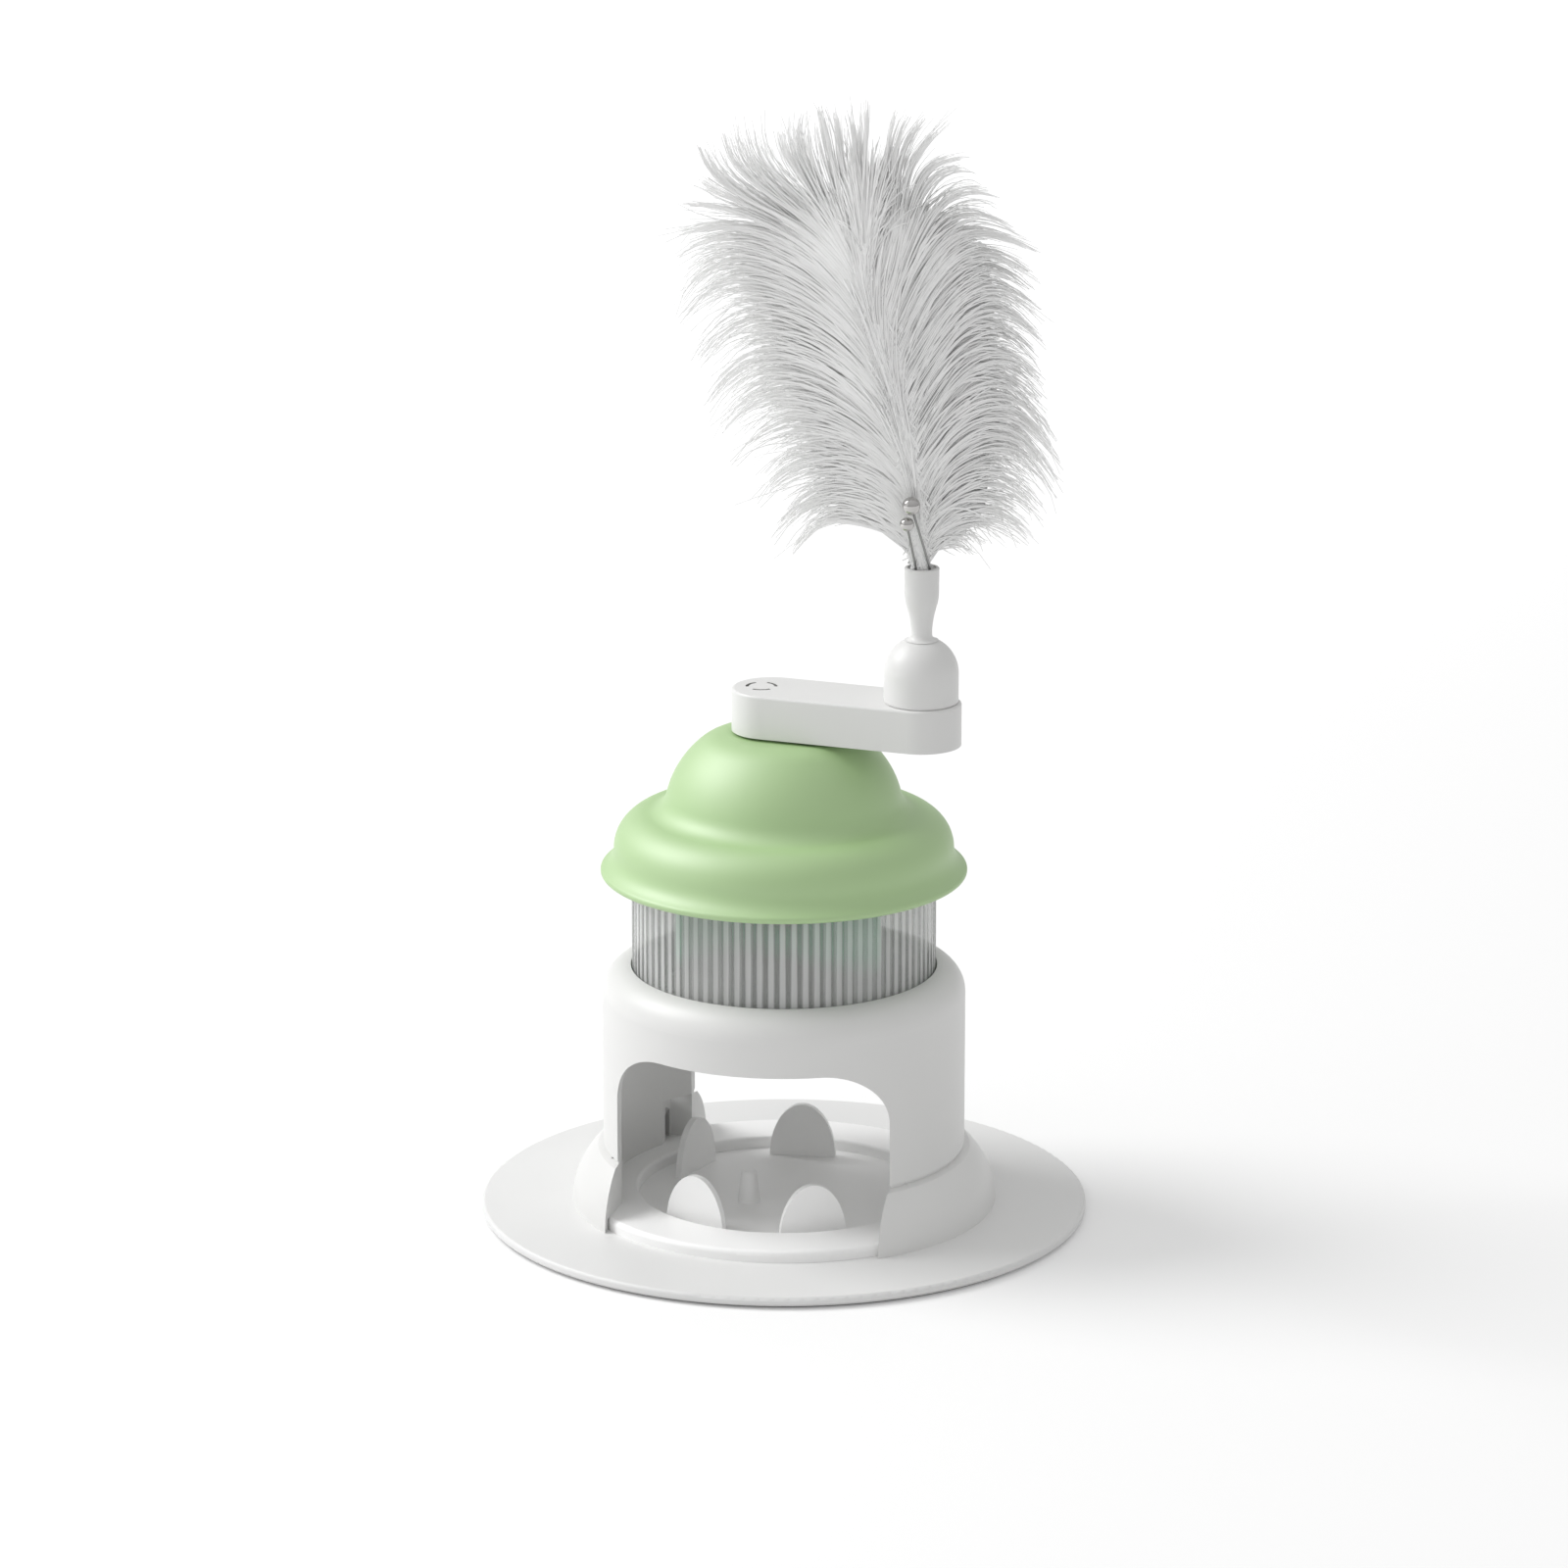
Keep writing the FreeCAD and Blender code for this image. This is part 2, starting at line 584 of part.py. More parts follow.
def make_petal(number, angle, outward, turn):
    """A half-oval tongue: a flat oval cut off under the dish's floor, where it plugs into its slot."""
    oval = doc.addObject("Part::Ellipse", f"PetalOval{number}")
    oval.Placement = FreeCAD.Placement(V(), FreeCAD.Rotation(Z_AXIS, V(1, 0, 0), V(0, 1, 0), "ZXY"))
    bind(oval, "MajorRadius", dims.petal_height)
    bind(oval, "MinorRadius", dims.petal_width / 2)
    blank = doc.addObject("Part::Extrusion", f"PetalBlank{number}")
    blank.Base = oval
    blank.DirMode = "Custom"
    blank.Dir = V(0, -1, 0)
    bind(blank, "LengthFwd", dims.petal_thickness / 2)
    bind(blank, "LengthRev", dims.petal_thickness / 2)
    blank.Solid = True
    upper = doc.addObject("Part::Box", f"PetalUpper{number}")
    tab = dims.dish_floor - dims.recess_floor
    for side, size in (("Length", dims.petal_width * 2), ("Width", dims.petal_thickness * 3)):
        bind(upper, side, size)
    bind(upper, "Height", dims.petal_height + tab + 1)
    bind(upper, ".Placement.Base.x", -dims.petal_width)
    bind(upper, ".Placement.Base.y", -dims.petal_thickness * 1.5)
    bind(upper, ".Placement.Base.z", -tab)
    petal = doc.addObject("Part::Common", f"Petal{number}")
    petal.Base = blank
    petal.Tool = upper
    petal.Placement = FreeCAD.Placement(V(), FreeCAD.Rotation(Z_AXIS, turn))
    x, y = petal_middle(angle, outward)
    bind(petal, ".Placement.Base.x", x)
    bind(petal, ".Placement.Base.y", y)
    bind(petal, ".Placement.Base.z", dims.dish_floor)
    return petal


def make_housing():
    """One turned shell: skirt, round wall, full-round shoulder, and a collar and shelf inside for the drum."""
    body = new_body("Housing")
    wall_foot = dims.skirt_ledge + dims.groove_height
    inner_wall = dims.house_radius - dims.house_wall
    collar_radius = dims.mouth_radius + dims.collar_wall
    inner_round = dims.shoulder_round - dims.house_wall
    spring = dims.house_top - dims.shoulder_round
    collar_top = dims.house_top - dims.house_wall - 0.5
    skirt_inner_round = dims.skirt_round - dims.skirt_wall
    skirt_ceiling = dims.skirt_ledge - dims.skirt_wall
    skirt_inner = dims.skirt_foot - dims.skirt_wall
    leg_inner_skin = inner_wall + 1.5
    groove_floor = dims.house_radius - dims.groove_depth
    spin(
        body,
        "HousingShell",
        [
            (dims.skirt_foot, dims.base_top, dims.skirt_round, 1),
            (dims.skirt_head, dims.skirt_ledge),
            (groove_floor, dims.skirt_ledge + 0.5),
            (groove_floor, wall_foot + 0.3),
            (dims.house_radius, wall_foot + 0.6),
            (dims.house_radius, spring, dims.shoulder_round, 1),
            (dims.mouth_radius, dims.house_top),
            (dims.mouth_radius, dims.shelf_top),
            (dims.shelf_inner, dims.shelf_top),
            (dims.shelf_inner, dims.shelf_top - dims.shelf_thick),
            (collar_radius, dims.shelf_top - dims.shelf_thick),
            (collar_radius, collar_top, inner_round, -1),
            (inner_wall, spring),
            (inner_wall, dims.dish_rim),
            (skirt_inner, dims.dish_rim),
            (skirt_inner, dims.base_top),
        ],
    )
    hollow_outline = [
        (leg_inner_skin, dims.base_top),
        (leg_inner_skin, skirt_ceiling),
        (dims.skirt_head - dims.skirt_wall, skirt_ceiling, skirt_inner_round, -1),
        (skirt_inner, dims.base_top),
    ]
    hollow = spin(body, "LegHollow", hollow_outline, cut=True, half_angle=dims.leg_hollow_half)
    ring_of(body, "LegHollows", hollow, hollow.Profile[0], Size(2), axis="V_Axis")
    straight = dims.window_top - dims.window_round
    for name, half, backward in (("Front", dims.window_half, False), ("Back", dims.window_back, True)):
        window = sketch_on(body, f"{name}WindowOutline", "XZ_Plane")
        narrow = half - dims.window_round
        draw_outline(
            window,
            [
                (-half, 0),
                (half, 0),
                (half, straight, dims.window_round, 1),
                (narrow, dims.window_top),
                (-narrow, dims.window_top, dims.window_round, 1),
                (-half, straight),
            ],
        )
        pocket(body, f"{name}Window", window, dims.skirt_foot * 2, upward=backward)
    notch = sketch_on(body, "BackNotchOutline", "XZ_Plane", height=-dims.back_notch_start)
    notch_top = dims.skirt_ledge + 0.9
    draw_outline(
        notch,
        [(-dims.back_notch, 0), (dims.back_notch, 0), (dims.back_notch, notch_top), (-dims.back_notch, notch_top)],
    )
    pocket(body, "BackNotch", notch, dims.skirt_foot, upward=True)
    bosses = sketch_on(body, "LegBossOutlines", "XY_Plane", height=dims.dish_rim)
    pilots = sketch_on(body, "LegPilotHoles", "XY_Plane", height=dims.dish_rim)
    for x, y in leg_screw_places():
        draw_circle(bosses, x, y, dims.leg_boss)
        draw_circle(pilots, x, y, dims.screw_radius)
    pad(body, "LegBosses", bosses, dims.leg_boss_top - dims.dish_rim)
    pocket(body, "LegPilots", pilots, dims.leg_boss_top - dims.dish_rim - 0.5, upward=True)
    holes = sketch_on(body, "ShelfHoles", "XY_Plane", height=dims.shelf_top)
    for x, y in drum_screw_places():
        draw_circle(holes, x, y, dims.screw_hole)
    pocket(body, "ShelfScrewHoles", holes, dims.shelf_thick + 1)
    return keep("housing", body)


def make_drop_floor():
    """The floor under the food: two drop holes, and the pin that the rotor turns on."""
    body = new_body("DropFloor")
    spin(
        body,
        "FloorDisc",
        [
            (0, dims.shelf_top),
            (dims.drop_floor_radius, dims.shelf_top),
            (dims.drop_floor_radius, dims.drop_floor_top),
            (dims.pin_radius, dims.drop_floor_top),
            (dims.pin_radius, dims.pin_top - 0.5),
            (dims.pin_radius - 0.5, dims.pin_top),
            (0, dims.pin_top),
        ],
    )
    holes = sketch_on(body, "DropHoles", "XY_Plane", height=dims.drop_floor_top)
    for angle in (dims.drop_turn, dims.drop_turn + 120):
        draw_circle(holes, dims.drop_circle * angle.cos(), dims.drop_circle * angle.sin(), dims.drop_hole)
    for x, y in drum_screw_places():
        draw_circle(holes, x, y, dims.screw_hole)
    pocket(body, "FloorHoles", holes, dims.drop_floor_top - dims.shelf_top + 1)
    return keep("drop_floor", body)


def make_food_drum():
    """The clear container: a sleeve with upright flutes, and four screw bosses low on its inside."""
    body = new_body("FoodDrum")
    spin(
        body,
        "DrumSleeve",
        [
            (dims.drum_inner, dims.drop_floor_top),
            (dims.drum_radius, dims.drop_floor_top),
            (dims.drum_radius, dims.drum_rim - 0.5),
            (dims.drum_radius - 0.5, dims.drum_rim),
            (dims.drum_inner, dims.drum_rim),
        ],
    )
    bosses = sketch_on(body, "DrumBossOutlines", "XY_Plane", height=dims.drop_floor_top)
    pilots = sketch_on(body, "DrumPilotHoles", "XY_Plane", height=dims.drop_floor_top)
    for x, y in drum_screw_places():
        draw_circle(bosses, x, y, dims.drum_boss)
        draw_circle(pilots, x, y, dims.screw_radius)
    pad(body, "DrumBosses", bosses, dims.drum_boss_top - dims.drop_floor_top)
    pocket(body, "DrumPilots", pilots, dims.drum_boss_top - dims.drop_floor_top - 1, upward=True)
    flute = sketch_on(body, "FluteOutline", "XY_Plane", height=dims.flute_head)
    half = dims.drum_radius * (Size(180) / dims.flute_count * 0.42).sin()
    draw_outline(
        flute,
        [
            (-half, dims.drum_radius + 0.5),
            (-half, dims.drum_radius - 0.1, half * 1.25, 1),
            (half, dims.drum_radius - 0.1),
            (half, dims.drum_radius + 0.5),
        ],
    )
    groove = pocket(body, "Flute", flute, dims.flute_head - dims.flute_foot)
    ring_of(body, "Flutes", groove, flute, dims.flute_count)
    return keep("food_drum", body)


def make_rotor_washer():
    body = new_body("RotorWasher")
    spin(
        body,
        "Washer",
        [
            (dims.pin_radius + 0.3, dims.drop_floor_top),
            (dims.washer_radius, dims.drop_floor_top),
            (dims.washer_radius, dims.drop_floor_top + dims.washer_thick),
            (dims.pin_radius + 0.3, dims.drop_floor_top + dims.washer_thick),
        ],
    )
    return keep("rotor_washer", body)


def make_dispensing_rotor():
    """A disc with three treat pockets, a hub with a square socket, and three wings that stir the food."""
    body = new_body("DispensingRotor")
    foot = dims.drop_floor_top + dims.washer_thick
    disc_top = foot + dims.rotor_disc
    bore = dims.pin_radius + dims.turn_play
    bore_top = dims.pin_top + 0.5
    spin(
        body,
        "RotorHub",
        [
            (bore, foot),
            (dims.rotor_radius, foot),
            (dims.rotor_radius, disc_top),
            (dims.rotor_hub + 1.5, disc_top, 1.5, -1),
            (dims.rotor_hub, disc_top + 1.5),
            (dims.rotor_hub, dims.rotor_top - 1),
            (dims.rotor_hub - 1, dims.rotor_top),
            (0, dims.rotor_top),
            (0, bore_top),
            (bore, bore_top),
        ],
    )
    wing = sketch_on(body, "WingOutline", "XY_Plane", height=disc_top)
    outer, inner = dims.wing_bend + dims.wing_thick / 2, dims.wing_bend - dims.wing_thick / 2
    turn_sin, turn_cos = dims.wing_turn.sin(), dims.wing_turn.cos()
    root = Size(12)
    draw_outline(
        wing,
        [
            (outer * root.sin(), dims.wing_bend - outer * root.cos(), outer, 1),
            (outer * turn_sin, dims.wing_bend - outer * turn_cos),
            (inner * turn_sin, dims.wing_bend - inner * turn_cos, inner, -1),
            (inner * root.sin(), dims.wing_bend - inner * root.cos()),
        ],
    )
    blade = pad(body, "Wing", wing, dims.wing_top - disc_top)
    doc.recompute()
    ring_of(body, "Wings", blade, wing, dims.wing_count)
    spin(
        body,
        "WingClearance",
        [
            (dims.rotor_hub + 5, disc_top),
            (dims.rotor_radius + 3, disc_top),
            (dims.rotor_radius + 3, dims.wing_clear, 60, -1),
        ],
        cut=True,
    )
    spin(
        body,
        "WingTips",
        [
            (0, dims.rotor_top),
            (dims.rotor_hub + 2, dims.rotor_top, 14, -1),
            (dims.rotor_hub + 14, dims.wing_top),
            (dims.rotor_hub + 14, dims.wing_top + 3),
            (0, dims.wing_top + 3),
        ],
        cut=True,
    )
    pockets = sketch_on(body, "PocketOutlines", "XY_Plane", height=disc_top, turn=Size(-32))
    for index in range(3):
        angle = Size(120 * index)
        draw_circle(pockets, dims.drop_circle * angle.cos(), dims.drop_circle * angle.sin(), dims.pocket_radius)
    pocket(body, "TreatPockets", pockets, dims.rotor_disc + 1)
    square_turn = dims.arm_turn - dims.rotor_turn
    socket = sketch_on(body, "SocketOutline", "XY_Plane", height=dims.rotor_top, turn=square_turn)
    half = dims.key_width / 2 + dims.key_play
    draw_outline(socket, [(-half, -half), (half, -half), (half, half), (-half, half)])
    pocket(body, "Socket", socket, dims.rotor_top - dims.socket_floor)
    body.Placement = FreeCAD.Placement(V(), FreeCAD.Rotation(Z_AXIS, 10))
    bind(body, ".Placement.Rotation.Angle", dims.rotor_turn)
    return keep("dispensing_rotor", body)


def lid_outline():
    """The lid's outer side from crown to rim: dome, waist, tier, flare and rolled rim, each arc tangent to the next."""
    return [
        (dims.crown_radius, dims.lid_top, dims.crown_round, -1),
        (dims.dome_radius, dims.dome_height, dims.dome_round, -1),
        (dims.waist_in_radius, dims.waist_in_height, dims.waist_round, 1),
        (dims.waist_out_radius, dims.waist_out_height, dims.tier_round, -1),
        (dims.tier_foot_radius, dims.tier_foot_height, dims.flare_round, 1),
        (dims.roll_in_radius, dims.roll_in_height, dims.roll_round, -1),
        (dims.roll_out_radius, dims.rim_foot),
    ]


def lid_hollow():
    """The inner side, one wall thickness in: each point moves in along its own arc's radius."""
    wall = dims.lid_wall
    rise = dims.lid_top - wall
    return [
        (0, rise),
        (dims.dome_radius - wall * 2.05, rise, dims.dome_round - wall, -1),
        (dims.waist_in_radius - wall * 0.974, dims.waist_in_height - wall * 0.226, dims.waist_round + wall, 1),
        (dims.waist_out_radius - wall * 0.109, dims.waist_out_height - wall * 0.994, dims.tier_round - wall, -1),
        (dims.tier_foot_radius - wall, dims.tier_foot_height),
        (dims.rim_inner, dims.rim_foot),
        (dims.rim_inner, dims.rim_foot - 1),
        (0, dims.rim_foot - 1),
    ]


def make_dome_lid():
    """The two-tier shell, with a plug that goes down into the drum, ribs that rest on its rim, and a boss."""
    body = new_body("DomeLid")
    spin(
        body,
        "LidForm",
        [(0, dims.lid_top), *lid_outline(), (0, dims.rim_foot)],
    )
    spin(body, "LidHollow", lid_hollow(), cut=True)
    groove = dims.plug_radius - dims.seal_depth
    spin(
        body,
        "LidPlug",
        [
            (dims.plug_radius - dims.plug_wall, dims.plug_foot),
            (dims.plug_radius - 0.5, dims.plug_foot),
            (dims.plug_radius, dims.plug_foot + 0.5),
            (dims.plug_radius, dims.seal_foot),
            (groove, dims.seal_foot),
            (groove, dims.seal_head),
            (dims.plug_radius, dims.seal_head),
            (dims.plug_radius, dims.plug_head),
            (dims.plug_radius - dims.plug_wall, dims.plug_head + 1),
        ],
    )
    rib = sketch_on(body, "RibOutline", "XZ_Plane")
    inner = dims.plug_radius - 0.6
    draw_outline(
        rib,
        [
            (inner, dims.drum_rim),
            (dims.rib_reach, dims.drum_rim),
            (dims.rib_reach, dims.rib_shoulder, dims.tier_round - dims.lid_wall / 2, 1),
            (inner, dims.plug_head),
        ],
    )
    first_rib = pad(body, "SeatRib", rib, dims.rib_thick, both_ways=True)
    ring_of(body, "SeatRibs", first_rib, rib, dims.rib_count, axis="V_Axis")
    spin(
        body,
        "BushBoss",
        [
            (dims.bush_radius, dims.lid_boss_foot),
            (dims.lid_boss, dims.lid_boss_foot),
            (dims.lid_boss, dims.lid_top - 1),
            (dims.bush_radius, dims.lid_top - 1),
        ],
    )
    spin(
        body,
        "BushBore",
        [
            (0, dims.lid_boss_foot - 1),
            (dims.bush_radius, dims.lid_boss_foot - 1),
            (dims.bush_radius, dims.lid_top + 1),
            (0, dims.lid_top + 1),
        ],
        cut=True,
    )
    return keep("dome_lid", body)


def make_lid_seal():
    body = new_body("LidSeal")
    inner = dims.plug_radius - dims.seal_depth
    middle = (dims.seal_foot + dims.seal_head) / 2
    spin(
        body,
        "SealRing",
        [
            (inner, dims.seal_foot),
            (dims.plug_radius, dims.seal_foot),
            (dims.seal_radius, middle - 0.4),
            (dims.seal_radius, middle + 0.4),
            (dims.plug_radius, dims.seal_head),
            (inner, dims.seal_head),
        ],
    )
    return keep("lid_seal", body)


def make_shaft_bush():
    body = new_body("ShaftBush")
    bore = dims.shaft_radius + dims.turn_play
    spin(
        body,
        "Bush",
        [
            (bore, dims.lid_boss_foot),
            (dims.bush_radius, dims.lid_boss_foot),
            (dims.bush_radius, dims.lid_top),
            (dims.bush_flange, dims.lid_top),
            (dims.bush_flange, dims.arm_foot),
            (bore, dims.arm_foot),
        ],
    )
    return keep("shaft_bush", body)


def make_drive_shaft():
    """The shaft: a square lower end for the rotor, a flange on the arm's cover, a square head in the arm."""
    body = new_body("DriveShaft")
    flange_foot = dims.arm_foot + dims.cover_thick
    flange_top = flange_foot + dims.flange_thick
    clip_top = dims.lid_boss_foot - dims.clip_gap
    groove = dims.shaft_radius - 0.6
    spin(
        body,
        "ShaftRod",
        [
            (0, dims.shaft_foot),
            (dims.shaft_radius - 0.5, dims.shaft_foot),
            (dims.shaft_radius, dims.shaft_foot + 0.5),
            (dims.shaft_radius, clip_top - dims.clip_thick),
            (groove, clip_top - dims.clip_thick),
            (groove, clip_top),
            (dims.shaft_radius, clip_top),
            (dims.shaft_radius, flange_foot),
            (dims.flange_radius, flange_foot),
            (dims.flange_radius, flange_top),
            (dims.shaft_radius, flange_top),
            (dims.shaft_radius, flange_top + 4),
            (0, flange_top + 4),
        ],
    )
    for name, foot, top in (
        ("LowerSquare", dims.shaft_foot - 1, dims.key_top),
        ("UpperSquare", flange_top, flange_top + 5),
    ):
        flats = sketch_on(body, f"{name}Outline", "XY_Plane", height=foot)
        half = dims.key_width / 2
        draw_circle(flats, 0, 0, dims.shaft_radius + 1)
        draw_outline(flats, [(-half, -half), (half, -half), (half, half), (-half, half)])
        pocket(body, name, flats, top - foot, upward=True)
    return keep("drive_shaft", turn_with_arm(body))


def make_shaft_clip():
    body = new_body("ShaftClip")
    top = dims.lid_boss_foot - dims.clip_gap
    spin(
        body,
        "Clip",
        [
            (dims.shaft_radius - 0.6, top - dims.clip_thick),
            (dims.clip_radius, top - dims.clip_thick),
            (dims.clip_radius, top),
            (dims.shaft_radius - 0.6, top),
        ],
    )
    return keep("shaft_clip", body)


def stadium(sketch, near, far, radius):
    """A bar with two full-round ends, from one end's middle to the other's, along X."""
    draw_outline(
        sketch,
        [(near, -radius), (far, -radius, radius, 1), (far, radius), (near, radius, radius, 1)],
    )


def make_crank_arm():
    """The arm: a hollow bar, open below, with a square seat for the shaft and bosses for its screws."""
    body = new_body("CrankArm")
    bar = sketch_on(body, "BarOutline", "XY_Plane", height=dims.arm_foot)
    stadium(bar, dims.arm_back, dims.knob_reach, dims.arm_end)
    pad(body, "Bar", bar, dims.arm_top - dims.arm_foot)
    round_edges(body, "BarEdge", dims.arm_edge, at_height(dims.arm_top))
    hollow = sketch_on(body, "HollowOutline", "XY_Plane", height=dims.arm_foot)
    stadium(hollow, dims.arm_back, dims.knob_reach, dims.arm_end - dims.arm_wall)
    roof = dims.arm_top - dims.arm_wall
    pocket(body, "Hollow", hollow, roof - dims.arm_foot, upward=True)
    flange_top = dims.arm_foot + dims.cover_thick + dims.flange_thick
    bosses = sketch_on(body, "BossOutlines", "XY_Plane", height=flange_top + 0.2)
    draw_circle(bosses, 0, 0, dims.flange_radius - 1)
    draw_circle(bosses, dims.knob_reach, 0, dims.stud_head)
    pad(body, "Bosses", bosses, roof - flange_top)
    seats = sketch_on(body, "SeatOutlines", "XY_Plane", height=flange_top - 1)
    half = dims.key_width / 2 + 0.05
    draw_outline(seats, [(-half, -half), (half, -half), (half, half), (-half, half)])
    pocket(body, "ShaftSeat", seats, Size(7), upward=True)
    stud_hole = sketch_on(body, "StudHoleOutline", "XY_Plane", height=dims.arm_top + 1)
    draw_circle(stud_hole, dims.knob_reach, 0, dims.stud_radius)
    pocket(body, "StudHole", stud_hole, dims.arm_top - dims.arm_foot)
    posts = sketch_on(body, "PostOutlines", "XY_Plane", height=dims.arm_foot + dims.cover_thick)
    pilots = sketch_on(body, "PostPilots", "XY_Plane", height=dims.arm_foot + dims.cover_thick)
    for x in (dims.cover_screw_near, dims.cover_screw_far):
        draw_circle(posts, x, 0, dims.cover_boss)
        draw_circle(pilots, x, 0, dims.screw_radius)
    pad(body, "Posts", posts, roof - dims.arm_foot - dims.cover_thick + 0.5)
    pocket(body, "PostHoles", pilots, Size(7), upward=True)
    mark = sketch_on(body, "MarkOutline", "XY_Plane", height=dims.arm_top, across=dims.mark_middle,
                     turn=dims.mark_turn)
    outer, inner = dims.mark_radius + dims.mark_width / 2, dims.mark_radius - dims.mark_width / 2
    across, along = dims.mark_angle.sin(), dims.mark_angle.cos()
    draw_outline(
        mark,
        [
            (-outer * across, -outer * along, outer, 1),
            (outer * across, -outer * along),
            (inner * across, -inner * along, inner, -1),
            (-inner * across, -inner * along),
        ],
    )
    arc = pocket(body, "MarkArc", mark, dims.mark_depth)
    ring_of(body, "TurningMark", arc, mark, Size(3))
    return keep("crank_arm", turn_with_arm(body))


def make_arm_bottom_cover():
    body = new_body("ArmBottomCover")
    plate = sketch_on(body, "CoverOutline", "XY_Plane", height=dims.arm_foot)
    stadium(plate, dims.arm_back, dims.knob_reach, dims.arm_end - dims.arm_wall - dims.cover_play)
    pad(body, "CoverPlate", plate, dims.cover_thick)
    holes = sketch_on(body, "CoverHoles", "XY_Plane", height=dims.arm_foot + dims.cover_thick)
    heads = sketch_on(body, "CoverHeadRecesses", "XY_Plane", height=dims.arm_foot)
    draw_circle(holes, 0, 0, dims.shaft_radius + 0.1)
    for x in (dims.cover_screw_near, dims.cover_screw_far):
        draw_circle(holes, x, 0, dims.screw_hole)
        draw_circle(heads, x, 0, dims.screw_head + 0.2)
    pocket(body, "CoverHoleCuts", holes, dims.cover_thick + 1)
    pocket(body, "CoverHeadCuts", heads, Size(1.2), upward=True)
    return keep("arm_bottom_cover", turn_with_arm(body))


def make_arm_screws():
    screws = []
    for name, reach in (("ArmScrewNear", dims.cover_screw_near), ("ArmScrewFar", dims.cover_screw_far)):
        x, y = reach * dims.arm_turn.cos(), reach * dims.arm_turn.sin()
        screws.append(arm_screw(name, x, y))
    return group("arm_screws", screws)


def arm_screw(name, x, y):
    """A flat-headed screw whose head lies in the cover's recess."""
    body = new_body(name)
    head_top = dims.arm_foot + 1.2
    shank_top = dims.arm_foot + 8
    spin(
        body,
        f"{name}_turned",
        [
            (0, dims.arm_foot + 0.1),
            (dims.screw_head, dims.arm_foot + 0.1),
            (dims.screw_head, head_top),
            (dims.screw_radius, head_top),
            (dims.screw_radius, shank_top - 1),
            (0, shank_top),
        ],
    )
    bind(body, ".Placement.Base.x", x)
    bind(body, ".Placement.Base.y", y)
    return body


def make_knob_stud():
    body = new_body("KnobStud")
    head_foot = dims.arm_foot + dims.cover_thick
    spin(
        body,
        "Stud",
        [
            (0, head_foot),
            (dims.stud_head, head_foot),
            (dims.stud_head, head_foot + 2),
            (dims.stud_radius, head_foot + 2),
            (dims.stud_radius, dims.stud_top),
            (1.1, dims.stud_top),
            (1.1, dims.knob_screw_foot - 1),
            (0, dims.knob_screw_foot - 1),
        ],
    )
    return keep("knob_stud", stand_at_knob(body))


def make_knob_screw():
    body = new_body("KnobScrew")
    spin(
        body,
        "KnobScrewForm",
        [
            (0, dims.knob_screw_foot),
            (1.1, dims.knob_screw_foot + 1),
            (1.1, dims.stud_top),
            (dims.knob_screw_head, dims.stud_top),
            (dims.knob_screw_head, dims.stud_top + 0.9),
            (dims.knob_screw_head - 1, dims.stud_top + 1.8),
            (0, dims.stud_top + 1.8),
        ],
    )
    return keep("knob_screw", stand_at_knob(body))


def make_handle_knob():
    """The knob: a straight side and a half-ball top, bored from below for the stud and hollow above it."""
    body = new_body("HandleKnob")
    bore = dims.stud_radius + dims.turn_play
    crown = dims.knob_shoulder + dims.knob_radius
    spin(
        body,
        "KnobForm",
        [
            (0, dims.arm_top),
            (dims.knob_radius - 0.6, dims.arm_top, 0.6, 1),
            (dims.knob_radius, dims.arm_top + 0.6),
            (dims.knob_radius, dims.knob_shoulder, dims.knob_radius, 1),
            (0, crown),
        ],
    )
    spin(
        body,
        "KnobBore",
        [
            (0, dims.arm_top - 1),
            (bore, dims.arm_top - 1),
            (bore, dims.knob_shelf),
            (dims.knob_hollow, dims.knob_shelf),
            (dims.knob_hollow, crown + 1),
            (0, crown + 1),
        ],
        cut=True,
    )
    return keep("handle_knob", stand_at_knob(body))


def make_feather_cup():
    """The cup: a plug in the knob, a neck, a flare and a straight rim, bored for the feather's stalk."""
    body = new_body("FeatherCup")
    bore = dims.quill_radius + dims.turn_play
    mouth = dims.cup_radius - dims.cup_wall
    collar_foot = dims.cup_plug_top + 0.05
    spin(
        body,
        "CupForm",
        [
            (0, dims.cup_foot),
            (dims.cup_plug, dims.cup_foot),
            (dims.cup_plug, dims.cup_plug_top),
            (dims.cup_collar, collar_foot, dims.cup_collar_round, -1),
            (dims.cup_neck, collar_foot + dims.cup_collar_round),
            (dims.cup_neck, dims.cup_neck_top, dims.cup_flare, -1),
            (dims.cup_radius - 0.1, dims.cup_shoulder),
            (dims.cup_radius, dims.cup_rim - 0.3),
            (dims.cup_radius - 0.3, dims.cup_rim),
            (mouth, dims.cup_rim),
            (mouth, dims.cup_shoulder),
            (bore, dims.cup_throat),
            (bore, dims.cup_bore_foot),
            (0, dims.cup_bore_foot),
        ],
    )
    round_edges(body, "CupShoulder", Size(14), at_height(dims.cup_shoulder, low=dims.cup_radius.value - 0.2))
    return keep("feather_cup", stand_at_knob(body))


def make_feather_quill():
    body = new_body("FeatherQuill")
    spin(
        body,
        "Quill",
        [
            (0, dims.quill_foot),
            (0.4, dims.quill_foot),
            (dims.quill_radius, dims.quill_foot + 3),
            (dims.quill_radius, dims.cup_rim),
            (dims.quill_radius - 0.2, dims.quill_top),
            (0, dims.quill_top),
        ],
    )
    return keep("feather_quill", stand_at_knob(body))


